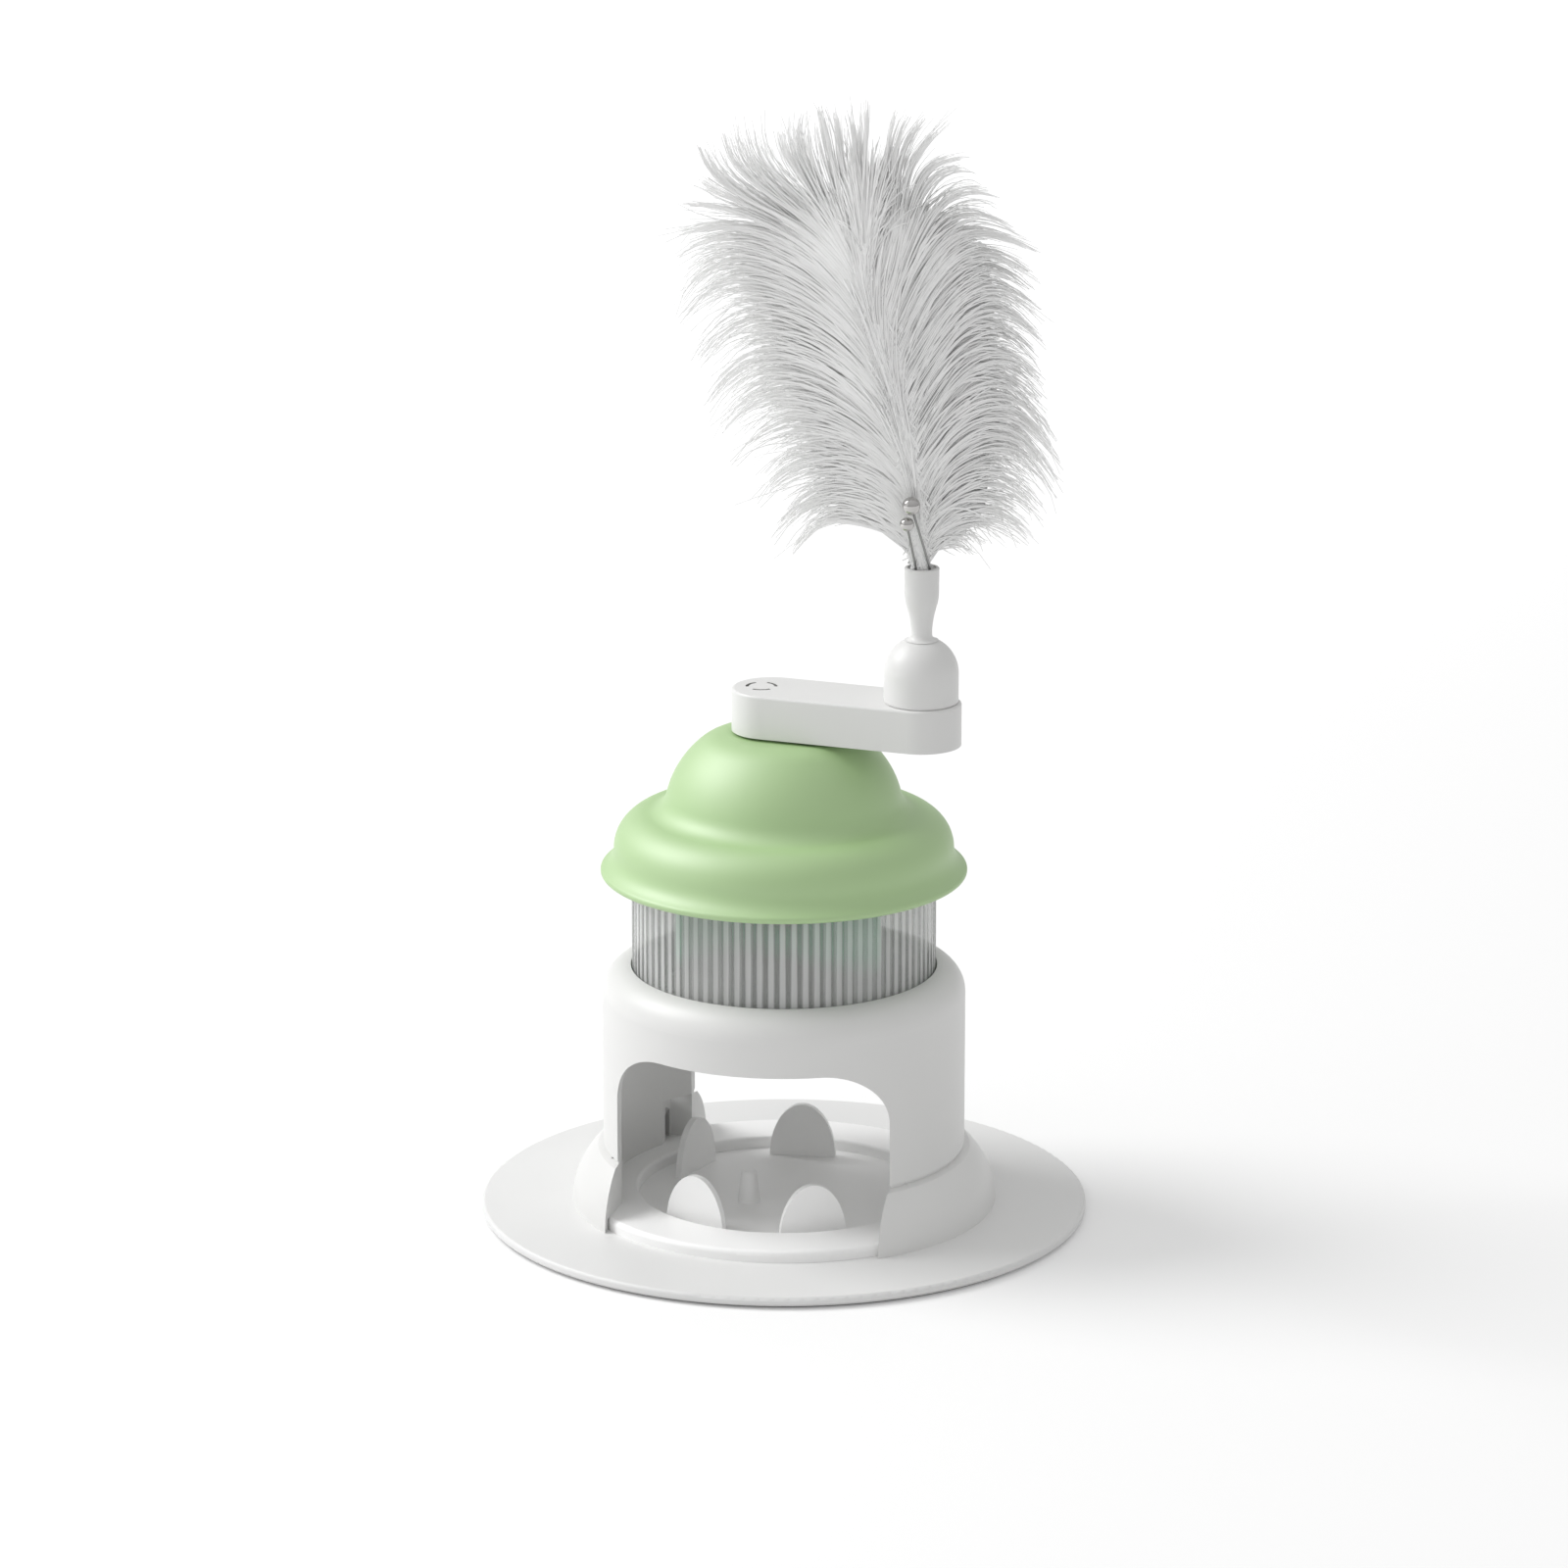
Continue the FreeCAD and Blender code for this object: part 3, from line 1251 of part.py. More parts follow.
# Plume, seen face on: height, middle, half width and half depth of each oval that its form runs through
PLUME_OVALS = (
    (203.0, 0.0, 6.0, 3.4),
    (208.0, -5.0, 20.0, 5.0),
    (216.0, -6.0, 33.0, 7.6),
    (232.0, -5.5, 40.0, 11.0),
    (248.0, -9.5, 44.0, 12.5),
    (264.0, -14.0, 46.0, 13.0),
    (280.0, -17.0, 47.0, 13.0),
    (296.0, -20.0, 45.0, 12.4),
    (312.0, -25.0, 39.0, 11.0),
    (324.0, -26.0, 32.0, 9.0),
    (334.0, -25.0, 20.0, 6.0),
    (339.5, -23.0, 9.0, 3.0),
)


def make_feather_plume():
    """The plume as one soft form through its ovals, hollowed where the stalk stands in it."""
    ovals = []
    for number, (height, middle, half_width, half_depth) in enumerate(PLUME_OVALS, start=1):
        oval = doc.addObject("Part::Ellipse", f"PlumeOval{number}")
        oval.MajorRadius = half_width
        oval.MinorRadius = half_depth
        oval.Placement.Base = V(middle, 0, height)
        ovals.append(oval)
    form = doc.addObject("Part::Loft", "PlumeForm")
    form.Sections = ovals
    form.Solid = True
    form.Ruled = False
    stalk = doc.addObject("Part::Cylinder", "PlumeStalkSpace")
    bind(stalk, "Radius", dims.quill_radius)
    bind(stalk, "Height", dims.quill_top - dims.cup_rim)
    bind(stalk, ".Placement.Base.z", dims.cup_rim)
    plume = doc.addObject("Part::Cut", "Plume")
    plume.Base = form
    plume.Tool = stalk
    return keep("feather_plume", stand_at_knob(plume, dims.plume_turn))


# Bells, seen face on from the front of the plume: across, out of the plume, height
BELL_PLACES = ((-3.4, -12.7, 221.4), (-4.6, -11.3, 215.6))
# Bell wires, seen the same way: the foot of each on the stalk in the cup, and the bend above the cup's rim
WIRE_PATHS = (((1.46, -0.58, 192.0), (2.2, -2.7, 200.9)), ((-1.14, -1.09, 192.0), (-1.9, -2.9, 201.2)))


def make_bells():
    bells = []
    for number, (place, radius) in enumerate(zip(BELL_PLACES, (dims.bell_big, dims.bell_small)), start=1):
        bell = doc.addObject("Part::Sphere", f"Bell{number}")
        bind(bell, "Radius", radius)
        bell.Placement.Base = V(*place)
        bells.append(bell)
    together = doc.addObject("Part::Compound", "BellPair")
    together.Links = bells
    return keep("bells", stand_at_knob(together, dims.plume_turn))


def wire_length(name, start, end, shortening=0):
    """One straight length of bell wire."""
    reach = V(*end) - V(*start)
    rod = doc.addObject("Part::Cylinder", name)
    bind(rod, "Radius", dims.bell_wire)
    bind(rod, "Height", Size(reach.Length) - shortening)
    rod.Placement = FreeCAD.Placement(V(*start), FreeCAD.Rotation(Z_AXIS, reach))
    return rod


def make_bell_wires():
    """Two wires, each up out of the cup, round a small bend and on to the surface of its bell."""
    wires = []
    for number, (place, (foot, knee)) in enumerate(zip(BELL_PLACES, WIRE_PATHS), start=1):
        bell_radius = (dims.bell_big, dims.bell_small)[number - 1]
        bend = doc.addObject("Part::Sphere", f"BellWireBend{number}")
        bind(bend, "Radius", dims.bell_wire)
        bend.Placement.Base = V(*knee)
        wire = doc.addObject("Part::MultiFuse", f"BellWire{number}")
        wire.Shapes = [
            wire_length(f"BellWireFoot{number}", foot, knee),
            bend,
            wire_length(f"BellWireReach{number}", knee, place, bell_radius),
        ]
        wires.append(wire)
    together = doc.addObject("Part::Compound", "BellWirePair")
    together.Links = wires
    return keep("bell_wires", stand_at_knob(together, dims.plume_turn))


def make_base_screws():
    screws = [
        screw_up(f"BaseScrew{number}", x, y, dims.base_underside + 0.1, Size(12))
        for number, (x, y) in enumerate(leg_screw_places(), start=1)
    ]
    return group("base_screws", screws)


def make_drum_screws():
    head_foot = dims.shelf_top - dims.shelf_thick - dims.screw_head_height
    screws = [
        screw_up(f"DrumScrew{number}", x, y, head_foot, dims.drum_boss_top - 2)
        for number, (x, y) in enumerate(drum_screw_places(), start=1)
    ]
    return group("drum_screws", screws)


make_base_plate()
make_non_slip_ring()
make_treat_tray()
group("tray_petals", [make_petal(number, *place) for number, place in enumerate(PETAL_PLACES, start=1)])
make_base_screws()
make_housing()
make_drop_floor()
make_food_drum()
make_drum_screws()
make_rotor_washer()
make_dispensing_rotor()
make_dome_lid()
make_lid_seal()
make_shaft_bush()
make_drive_shaft()
make_shaft_clip()
make_crank_arm()
make_arm_bottom_cover()
make_arm_screws()
make_knob_stud()
make_knob_screw()
make_handle_knob()
make_feather_cup()
make_feather_quill()
make_feather_plume()
make_bells()
make_bell_wires()
doc.recompute()

failed = [thing.Label for thing in doc.Objects if {"Invalid", "Error"} & set(thing.State)]
if failed:
    raise SystemExit(f"these did not build: {failed}")
os.makedirs("parts", exist_ok=True)
for label, thing in nodes.items():
    shape = thing.Shape
    if shape.isNull() or not shape.isValid():
        raise SystemExit(f"{label} has no valid shape")
    shape.exportStep(f"parts/{label}.step")
    box = shape.BoundBox
    print(f"{label}: {len(shape.Solids)} solids, {shape.Volume / 1000:.2f} cm3, Z {box.ZMin:.1f} to {box.ZMax:.1f}")
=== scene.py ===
# %% [markdown]
# # A cat treat dispenser toy
# The toy stands on a round white disc. A cat bats the plume on top, the arm under
# it turns, and treats drop through the body into a dish. The CAD model gives every
# moulded shape at its true size. This lesson loads that model as a fixed frame,
# gives each piece its finish, and makes in Blender what CAD can't: the feather.

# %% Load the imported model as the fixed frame
import math

import bpy
import numpy as np
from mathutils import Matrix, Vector


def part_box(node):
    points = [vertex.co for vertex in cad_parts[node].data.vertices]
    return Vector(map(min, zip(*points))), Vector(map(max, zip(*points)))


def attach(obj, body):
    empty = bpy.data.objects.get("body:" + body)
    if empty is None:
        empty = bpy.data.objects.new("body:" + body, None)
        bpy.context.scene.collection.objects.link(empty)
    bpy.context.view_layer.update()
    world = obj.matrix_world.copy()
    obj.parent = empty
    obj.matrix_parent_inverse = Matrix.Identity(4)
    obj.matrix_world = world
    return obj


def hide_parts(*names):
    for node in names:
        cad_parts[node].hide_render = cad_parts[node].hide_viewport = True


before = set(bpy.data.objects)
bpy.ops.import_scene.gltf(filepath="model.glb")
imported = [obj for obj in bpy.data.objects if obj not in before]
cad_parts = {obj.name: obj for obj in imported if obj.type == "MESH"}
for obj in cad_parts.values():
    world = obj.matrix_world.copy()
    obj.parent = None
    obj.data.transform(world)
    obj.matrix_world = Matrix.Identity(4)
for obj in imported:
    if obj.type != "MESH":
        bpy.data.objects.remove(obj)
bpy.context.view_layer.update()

scene = bpy.context.scene

# %% [markdown]
# ## The camera
# The picture was taken from a little above, with a long lens that keeps upright
# edges nearly parallel. A constraint could aim the camera at the toy. Here it is
# placed by its own numbers, because they were worked out from the disc's ellipse.

# %% Camera
VIEW_TILT = math.radians(74.107)
VIEW_TURN = math.radians(15.5)

camera_data = bpy.data.cameras.new("front_camera")
camera_data.lens = 157.5
camera_data.sensor_width = 36
camera = bpy.data.objects.new("front_camera", camera_data)
camera.location = (0.5175, -1.8660, 0.6822)
camera.rotation_euler = (VIEW_TILT, 0, VIEW_TURN)
scene.collection.objects.link(camera)
scene.camera = camera
print("camera", round(camera.location.length, 2), "m away from the middle of the disc")

# %% [markdown]
# ## Nodes in one line
# A finish is a small graph of shader nodes. The first helper adds one node, sets its
# options and either fills each input with a number or links another node's output
# to it, so that a graph reads as a list of steps. The others start a finish with
# plain values and feed its shader with what the graph works out.

# %% Helpers that add and link shader nodes
def add_node(tree, kind, inputs=None, **options):
    """Adds a node; each input takes a number or another node's output."""
    node = tree.nodes.new(kind)
    for name, value in options.items():
        setattr(node, name, value)
    for name, value in (inputs or {}).items():
        if isinstance(value, bpy.types.NodeSocket):
            tree.links.new(value, node.inputs[name])
        else:
            node.inputs[name].default_value = value
    return node


def new_finish(name, **values):
    """A node material whose Principled shader starts with these plain values."""
    finish = bpy.data.materials.new(name)
    finish.use_nodes = True
    shader = finish.node_tree.nodes["Principled BSDF"]
    for socket, value in values.items():
        shader.inputs[socket.replace("_", " ")].default_value = value
    return finish, finish.node_tree, shader


def feed(tree, shader, **sources):
    """Links each source to the shader's input of that name."""
    for socket, source in sources.items():
        tree.links.new(source, shader.inputs[socket.replace("_", " ")])


def calculate(tree, operation, first, second=0.0):
    """One sum; each value is a number or another node's output."""
    return add_node(tree, "ShaderNodeMath", {0: first, 1: second}, operation=operation).outputs[0]


print("node helpers ready")

# %% [markdown]
# ## Noise and colour
# No real surface is even. A painter would load a scratch map, but noise that is
# worked out in the piece's own coordinates needs no image, keeps its true size and
# rides with the piece. A ramp turns it into colour.

# %% Helpers for noise and colour
def in_object(tree):
    """Places in the piece's own coordinates, in metres."""
    return add_node(tree, "ShaderNodeTexCoord").outputs["Object"]


def apart(tree, vector):
    """The outputs X, Y and Z of a vector."""
    return add_node(tree, "ShaderNodeSeparateXYZ", {"Vector": vector}).outputs


def noise(tree, place, scale, detail=2.0, rough=0.5):
    """Noise between 0 and 1; scale is the number of its cells in a metre."""
    inputs = {"Vector": place, "Scale": scale, "Detail": detail, "Roughness": rough}
    return add_node(tree, "ShaderNodeTexNoise", inputs).outputs["Fac"]


def scaled(colour, amount):
    return tuple(min(1.0, part * amount) for part in colour)


def shades(tree, factor, *stops):
    """A colour ramp: each stop is a position and a colour."""
    ramp = add_node(tree, "ShaderNodeValToRGB", {"Fac": factor})
    elements = ramp.color_ramp.elements
    while len(elements) < len(stops):
        elements.new(0.5)
    for element, (position, colour) in zip(elements, stops):
        element.position = position
        element.color = (*colour, 1)
    return ramp.outputs["Color"]


print("noise and colour helpers ready")

# %% [markdown]
# ## Gloss and relief
# The same noise makes a surface a little glossier here than there, by a mapped
# range, and gives it relief too fine for the mesh, by bump layers. Displacing the
# mesh would do that too, but it would need millions of faces for a fine grain.

# %% Helpers for gloss and bump
def remap(tree, value, source, target, **options):
    """Stretches one range of a value over another and stops at its ends."""
    inputs = {"Value": value, "From Min": source[0], "From Max": source[1]}
    inputs.update({"To Min": target[0], "To Max": target[1]})
    return add_node(tree, "ShaderNodeMapRange", inputs, **options).outputs["Result"]


def spread(tree, value, low, high):
    """Noise, which mostly keeps between 0.3 and 0.7, stretched over low to high."""
    return remap(tree, value, (0.3, 0.7), (low, high))


def bumps(tree, shader, *layers):
    """Stacks bump layers: each is a height, a strength and a depth in metres."""
    normal = None
    for height, strength, depth in layers:
        inputs = {"Height": height, "Strength": strength, "Distance": depth}
        if normal is not None:
            inputs["Normal"] = normal
        normal = add_node(tree, "ShaderNodeBump", inputs).outputs["Normal"]
    feed(tree, shader, Normal=normal)


print("gloss and bump helpers ready")

# %% [markdown]
# ## Moulded plastic
# The housing, disc, dish, arm, knob and cup are injection-moulded in white ABS. The
# mould was spark-eroded, so a fine even grain breaks up the shine, the wall sinks
# by about a tenth of a millimetre where the plastic cooled, and the gloss drifts a
# little over a hand's breadth. Noise at three scales gives those three. The lid is
# moulded in soft green with less grain, under a dull coat that gives its broad sheen.

# %% Moulded plastic finish
GRAIN, SINK, DRIFT = 2400.0, 55.0, 14.0  # noise cells in a metre
GRAIN_DEPTH, SINK_DEPTH = 0.00004, 0.00012  # metres
GLOSS_DRIFT = 0.03


def moulded_plastic(name, colour, roughness, grain=0.10, **values):
    """Spark-eroded plastic; values go to the shader as they are."""
    finish, tree, shader = new_finish(name, **{"IOR": 1.5, **values})
    place = in_object(tree)
    slow = noise(tree, place, DRIFT, 3.0)
    feed(
        tree, shader,
        Base_Color=shades(tree, slow, (0.3, scaled(colour, 0.975)), (0.7, scaled(colour, 1.015))),
        Roughness=spread(tree, slow, roughness - GLOSS_DRIFT, roughness + GLOSS_DRIFT),
    )
    bumps(
        tree, shader,
        (noise(tree, place, SINK), 0.25, SINK_DEPTH),
        (noise(tree, place, GRAIN, rough=0.6), grain, GRAIN_DEPTH),
    )
    return finish


white_housing = moulded_plastic("housing_white_abs", (0.76, 0.76, 0.75), 0.42)
white_disc = moulded_plastic("disc_white_abs", (0.78, 0.78, 0.775), 0.46)
# The dish is set much brighter than the other white ABS: painted light for the light that bounces
# round inside the housing.
white_dish = moulded_plastic("dish_white_abs", (0.96, 0.96, 0.955), 0.40)
white_arm = moulded_plastic("arm_white_abs", (0.75, 0.75, 0.74), 0.38)
white_inner = moulded_plastic("inner_white_acetal", (0.74, 0.74, 0.72), 0.34)
green_lid = moulded_plastic(
    "lid_soft_green", (0.35, 0.55, 0.22), 0.58, grain=0.06, IOR=1.75,
    Specular_IOR_Level=1.0, Coat_Weight=1.0, Coat_Roughness=0.60,
)
print("moulded finishes:", white_housing.name, "to", green_lid.name)

# %% [markdown]
# ## Mint rotor with treat dust and painted shade
# The rotor is moulded in mint plastic. Its wings stir the food and stay clean,
# while fine dust from dry treats greys the disc with the pockets below them. That
# grey is painted darker than dust alone would make it, as painted shade low in the
# drum. Dust could be painted on, but here the height above the floor alone tells one
# from the other, so the colour goes from dust and painted shade to mint with it.

# %% Rotor finish
DUST_AND_SHADE_TOP, WING_FOOT = 0.078, 0.084  # metres above the floor


def mint_with_dust_and_shade(name, dust_and_shade, mint):
    """Mint plastic above the height DUST_AND_SHADE_TOP, below it the grey of fine treat powder
    darkened further as painted shade.
    """
    finish, tree, shader = new_finish(name, IOR=1.5)
    place = in_object(tree)
    clean = remap(tree, apart(tree, place)["Z"], (DUST_AND_SHADE_TOP, WING_FOOT), (0.0, 1.0))
    feed(
        tree, shader,
        Base_Color=shades(tree, clean, (0.0, dust_and_shade), (1.0, mint)),
        Roughness=spread(tree, clean, 0.60, 0.40),
    )
    bumps(tree, shader, (noise(tree, place, GRAIN, rough=0.6), 0.10, GRAIN_DEPTH))
    return finish


# the dark grey below the wings is treat dust, darkened further as painted shade
mint_rotor = mint_with_dust_and_shade("rotor_mint", (0.20, 0.20, 0.18), (0.12, 0.72, 0.38))
print("rotor finish:", mint_rotor.name, "clean above", WING_FOOT * 1000, "mm")

# %% [markdown]
# ## Clear fluted drum
# The food drum is clear polycarbonate with upright flutes in its wall. Refraction
# in a ribbed wall needs many light paths, so the plastic is given a plain alpha
# instead. A flute bends light towards its ridge and away from the grooves beside
# it. The alpha can't do that, so a cosine round the drum, one wave to a flute,
# makes the ridges pale and the grooves grey. The flutes themselves are real shape.

# %% Clear drum finish
FLUTES = 84
HAZE, RIPPLE = 60.0, 300.0  # noise cells in a metre
RIPPLE_DEPTH = 0.0001


def clear_plastic(name, ridge, groove, alpha):
    """Clear fluted plastic: pale on the ridges, dark in the grooves between them."""
    finish, tree, shader = new_finish(name, IOR=1.58, Alpha=alpha)
    place = in_object(tree)
    around = apart(tree, place)
    angle = calculate(tree, "ARCTAN2", around["Y"], around["X"])
    wave = calculate(tree, "COSINE", calculate(tree, "MULTIPLY", angle, FLUTES))
    slow = noise(tree, place, HAZE)
    level = calculate(tree, "ADD", wave, slow)
    feed(
        tree, shader,
        Base_Color=shades(tree, level, (0.0, ridge), (0.4, scaled(ridge, 0.66)), (1.0, groove)),
        Roughness=spread(tree, slow, 0.10, 0.18),
    )
    bumps(tree, shader, (noise(tree, place, RIPPLE), 0.10, RIPPLE_DEPTH))
    return finish


clear_drum = clear_plastic("drum_clear_polycarbonate", (1.0, 1.0, 1.0), (0.46, 0.47, 0.46), 0.40)
print("drum finish:", clear_drum.name, "with", FLUTES, "flutes")

# %% [markdown]
# ## Rubber
# The ring under the disc is grey rubber and the lid's seal is pale silicone. Both
# are dull and hold dust, which lightens them in patches. A fabric-like sheen could
# stand for the dust, but patches of noise show where it settles.

# %% Rubber finishes
DUST_PATCHES = 160.0
RUBBER_GRAIN, RUBBER_DEPTH = 1500.0, 0.00006


def soft_rubber(name, colour):
    finish, tree, shader = new_finish(name, IOR=1.45)
    place = in_object(tree)
    dust_and_shade = noise(tree, place, DUST_PATCHES, 4.0)
    feed(
        tree, shader,
        Base_Color=shades(tree, dust_and_shade, (0.3, scaled(colour, 0.85)), (0.75, scaled(colour, 1.2))),
        Roughness=spread(tree, dust_and_shade, 0.62, 0.78),
    )
    bumps(tree, shader, (noise(tree, place, RUBBER_GRAIN, 3.0), 0.3, RUBBER_DEPTH))
    return finish


grip_rubber = soft_rubber("ring_grey_rubber", (0.30, 0.30, 0.30))
seal_rubber = soft_rubber("seal_pale_silicone", (0.55, 0.56, 0.54))
print("rubber finishes:", grip_rubber.name, "and", seal_rubber.name)

# %% [markdown]
# ## Metal
# The screws are zinced, the bells nickel-plated and the wires bare steel. They are
# so small that brushed or hammered detail would be lost. A metal shader with a
# smear of handling in its gloss and fine scratches is enough, and the bells are
# the smoothest, so that they catch the lamp as two bright dots.

# %% Metal finishes
SMEAR = 220.0
SCRATCHES, SCRATCH_DEPTH = 1800.0, 0.00002


def bright_metal(name, colour, roughness):
    finish, tree, shader = new_finish(name, Metallic=1.0)
    place = in_object(tree)
    smear = noise(tree, place, SMEAR, 3.0)
    feed(
        tree, shader,
        Base_Color=shades(tree, smear, (0.3, scaled(colour, 0.93)), (0.7, scaled(colour, 1.05))),
        Roughness=spread(tree, smear, roughness * 0.8, roughness * 1.3),
    )
    bumps(tree, shader, (noise(tree, place, SCRATCHES), 0.06, SCRATCH_DEPTH))
    return finish


screw_steel = bright_metal("screw_zinc_steel", (0.58, 0.58, 0.57), 0.32)
# The bells' nickel is set darker than bare nickel: a painted reflection of dark surroundings.
bell_nickel = bright_metal("bell_nickel", (0.52, 0.51, 0.50), 0.12)
wire_steel = bright_metal("wire_dark_steel", (0.30, 0.30, 0.30), 0.35)
print("metal finishes:", screw_steel.name, "to", wire_steel.name)

# %% [markdown]
# ## Dress the moulded pieces
# The CAD pieces already have their true shapes, so they stay. Their smooth shading
# came with them, and only the material in each slot is exchanged.

# %% Put each finish on its CAD pieces
DRESSED = {
    "base_plate": white_disc,
    "non_slip_ring": grip_rubber,
    "treat_tray": white_dish,
    "tray_petals": white_dish,
    "housing": white_housing,
    "drop_floor": white_inner,
    "food_drum": clear_drum,
    "rotor_washer": white_inner,
    "dispensing_rotor": mint_rotor,
    "dome_lid": green_lid,
    "lid_seal": seal_rubber,
    "shaft_bush": white_inner,
    "drive_shaft": white_inner,
    "shaft_clip": screw_steel,
    "crank_arm": white_arm,
    "arm_bottom_cover": white_arm,
    "arm_screws": screw_steel,
    "knob_stud": white_inner,
    "knob_screw": screw_steel,
    "handle_knob": white_arm,
    "feather_cup": white_arm,
    "feather_quill": white_inner,
    "bells": bell_nickel,
    "bell_wires": wire_steel,
    "base_screws": screw_steel,
    "drum_screws": screw_steel,
}


def dress(node_name, finish):
    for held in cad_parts[node_name].material_slots:
        held.material = finish


for node_name, finish in DRESSED.items():
    dress(node_name, finish)
print("dressed", len(DRESSED), "pieces")

# %% [markdown]
# ## Painted shade in the turning mark
# Three arcs pressed half a millimetre into the arm show that it turns. Shade falls
# in such a groove and draws it grey, and here that shade is painted into the colour.
# Paint on the arcs would need a second piece, so the arm's own finish is darkened
# instead, wherever its surface lies below the arm's face and close to the middle of
# the arcs.

# %% Darken the mark's groove
MARK_MIDDLE = Vector((-0.00697, 0.00061, 0.0))
MARK_REACH, ARM_FACE = 0.0056, 0.15985  # metres from its middle, metres up


def groove_painted_shade(finish, arm, dust_and_shade):
    """A copy of the finish, with painted shade inside the arm's turning mark."""
    shaded_copy = finish.copy()
    shaded_copy.name = "arm_white_abs_groove_shade"
    tree = shaded_copy.node_tree
    shader = tree.nodes["Principled BSDF"]
    middle = tuple(MARK_MIDDLE - arm.matrix_world.translation)
    here = add_node(
        tree, "ShaderNodeVectorMath", {0: in_object(tree), 1: middle}, operation="SUBTRACT"
    )
    along = apart(tree, here.outputs["Vector"])
    flat = add_node(tree, "ShaderNodeCombineXYZ", {"X": along["X"], "Y": along["Y"]})
    away = add_node(
        tree, "ShaderNodeVectorMath", {0: flat.outputs["Vector"]}, operation="LENGTH"
    )
    near = calculate(tree, "LESS_THAN", away.outputs["Value"], MARK_REACH)
    sunk = calculate(tree, "LESS_THAN", along["Z"], ARM_FACE)
    mix = add_node(
        tree, "ShaderNodeMix", {0: calculate(tree, "MULTIPLY", near, sunk)}, data_type="RGBA"
    )
    tree.links.new(shader.inputs["Base Color"].links[0].from_socket, mix.inputs[6])
    # the grey mixed in here is painted shade for the groove
    mix.inputs[7].default_value = (*dust_and_shade, 1)
    feed(tree, shader, Base_Color=mix.outputs[2])
    return shaded_copy


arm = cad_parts["crank_arm"]
# 0.22 grey is painted shade in the groove of the mark
dress("crank_arm", groove_painted_shade(white_arm, arm, (0.22, 0.22, 0.21)))
print("mark shade_painted on", arm.name)

# %% [markdown]
# ## The plume's guide strokes
# An ostrich plume is one shaft with long soft barbs on both sides. They leave the
# shaft steeply, sweep out and droop, and they stick together in pointed locks. A
# stroke here is one lock, as four points that it passes through from the shaft to
# its tip, in millimetres across the plume's face and up. A stylist would comb the
# same guide curves into a hair system. Here they are kept as numbers, because the
# barbs must be plain meshes that ride on the stalk.

# %% Guide strokes of the plume
MM = 0.001
SHAFT_LINE = [
    (-0.5, 202.0), (-1.3, 211.4), (-2.6, 224.6), (-4.8, 239.0), (-7.6, 250.7), (-10.3, 260.9),
    (-13.0, 271.5), (-15.0, 280.0), (-16.1, 286.7), (-16.6, 294.9), (-16.8, 304.0),
]
LEFT_STROKES = [
    ((-0.5, 202.0), (-11.7, 212.1), (-25.8, 214.5), (-38.6, 206.2)),
    ((-1.0, 207.3), (-12.4, 220.4), (-27.2, 223.2), (-43.3, 213.5)),
    ((-1.3, 211.4), (-13.8, 228.0), (-31.2, 231.4), (-48.0, 223.9)),
    ((-1.8, 217.7), (-15.1, 236.9), (-35.2, 243.1), (-54.4, 236.2)),
    ((-2.6, 224.6), (-17.8, 245.2), (-39.3, 253.4), (-59.3, 243.9)),
    ((-3.6, 231.4), (-20.5, 254.8), (-43.3, 263.6), (-62.7, 251.4)),
    ((-4.8, 239.0), (-21.9, 264.3), (-44.6, 274.5), (-65.4, 264.2)),
    ((-6.5, 245.9), (-23.3, 273.2), (-48.6, 285.4), (-70.2, 276.3)),
    ((-7.6, 250.7), (-24.6, 278.6), (-48.6, 291.5), (-69.2, 285.0)),
    ((-8.5, 254.1), (-26.0, 284.0), (-49.9, 296.9), (-70.5, 295.5)),
    ((-9.5, 257.5), (-27.3, 288.1), (-49.9, 300.3), (-74.1, 299.2)),
    ((-10.3, 260.9), (-27.3, 290.8), (-48.6, 303.0), (-68.5, 308.0)),
    ((-11.0, 263.6), (-28.0, 293.5), (-47.9, 305.7), (-66.8, 315.1)),
    ((-11.5, 265.7), (-28.6, 296.2), (-50.5, 308.7), (-63.8, 323.8)),
    ((-11.9, 267.7), (-28.6, 298.9), (-47.2, 312.7), (-56.9, 328.5)),
    ((-12.6, 269.8), (-28.6, 301.6), (-43.2, 315.1), (-50.1, 331.2)),
    ((-13.0, 271.5), (-27.3, 303.0), (-37.3, 317.8), (-41.0, 330.1)),
    ((-13.4, 273.2), (-26.0, 304.3), (-34.2, 319.1), (-35.0, 332.5)),
    ((-14.2, 275.2), (-22.7, 304.3), (-27.1, 321.8), (-30.3, 336.0)),
    ((-14.6, 277.3), (-20.4, 303.0), (-23.4, 318.4), (-25.1, 332.8)),
    ((-14.9, 278.6), (-18.7, 302.3), (-19.4, 319.1), (-21.4, 334.5)),
    ((-15.0, 280.0), (-17.4, 301.6), (-16.5, 320.5), (-16.1, 337.9)),
]
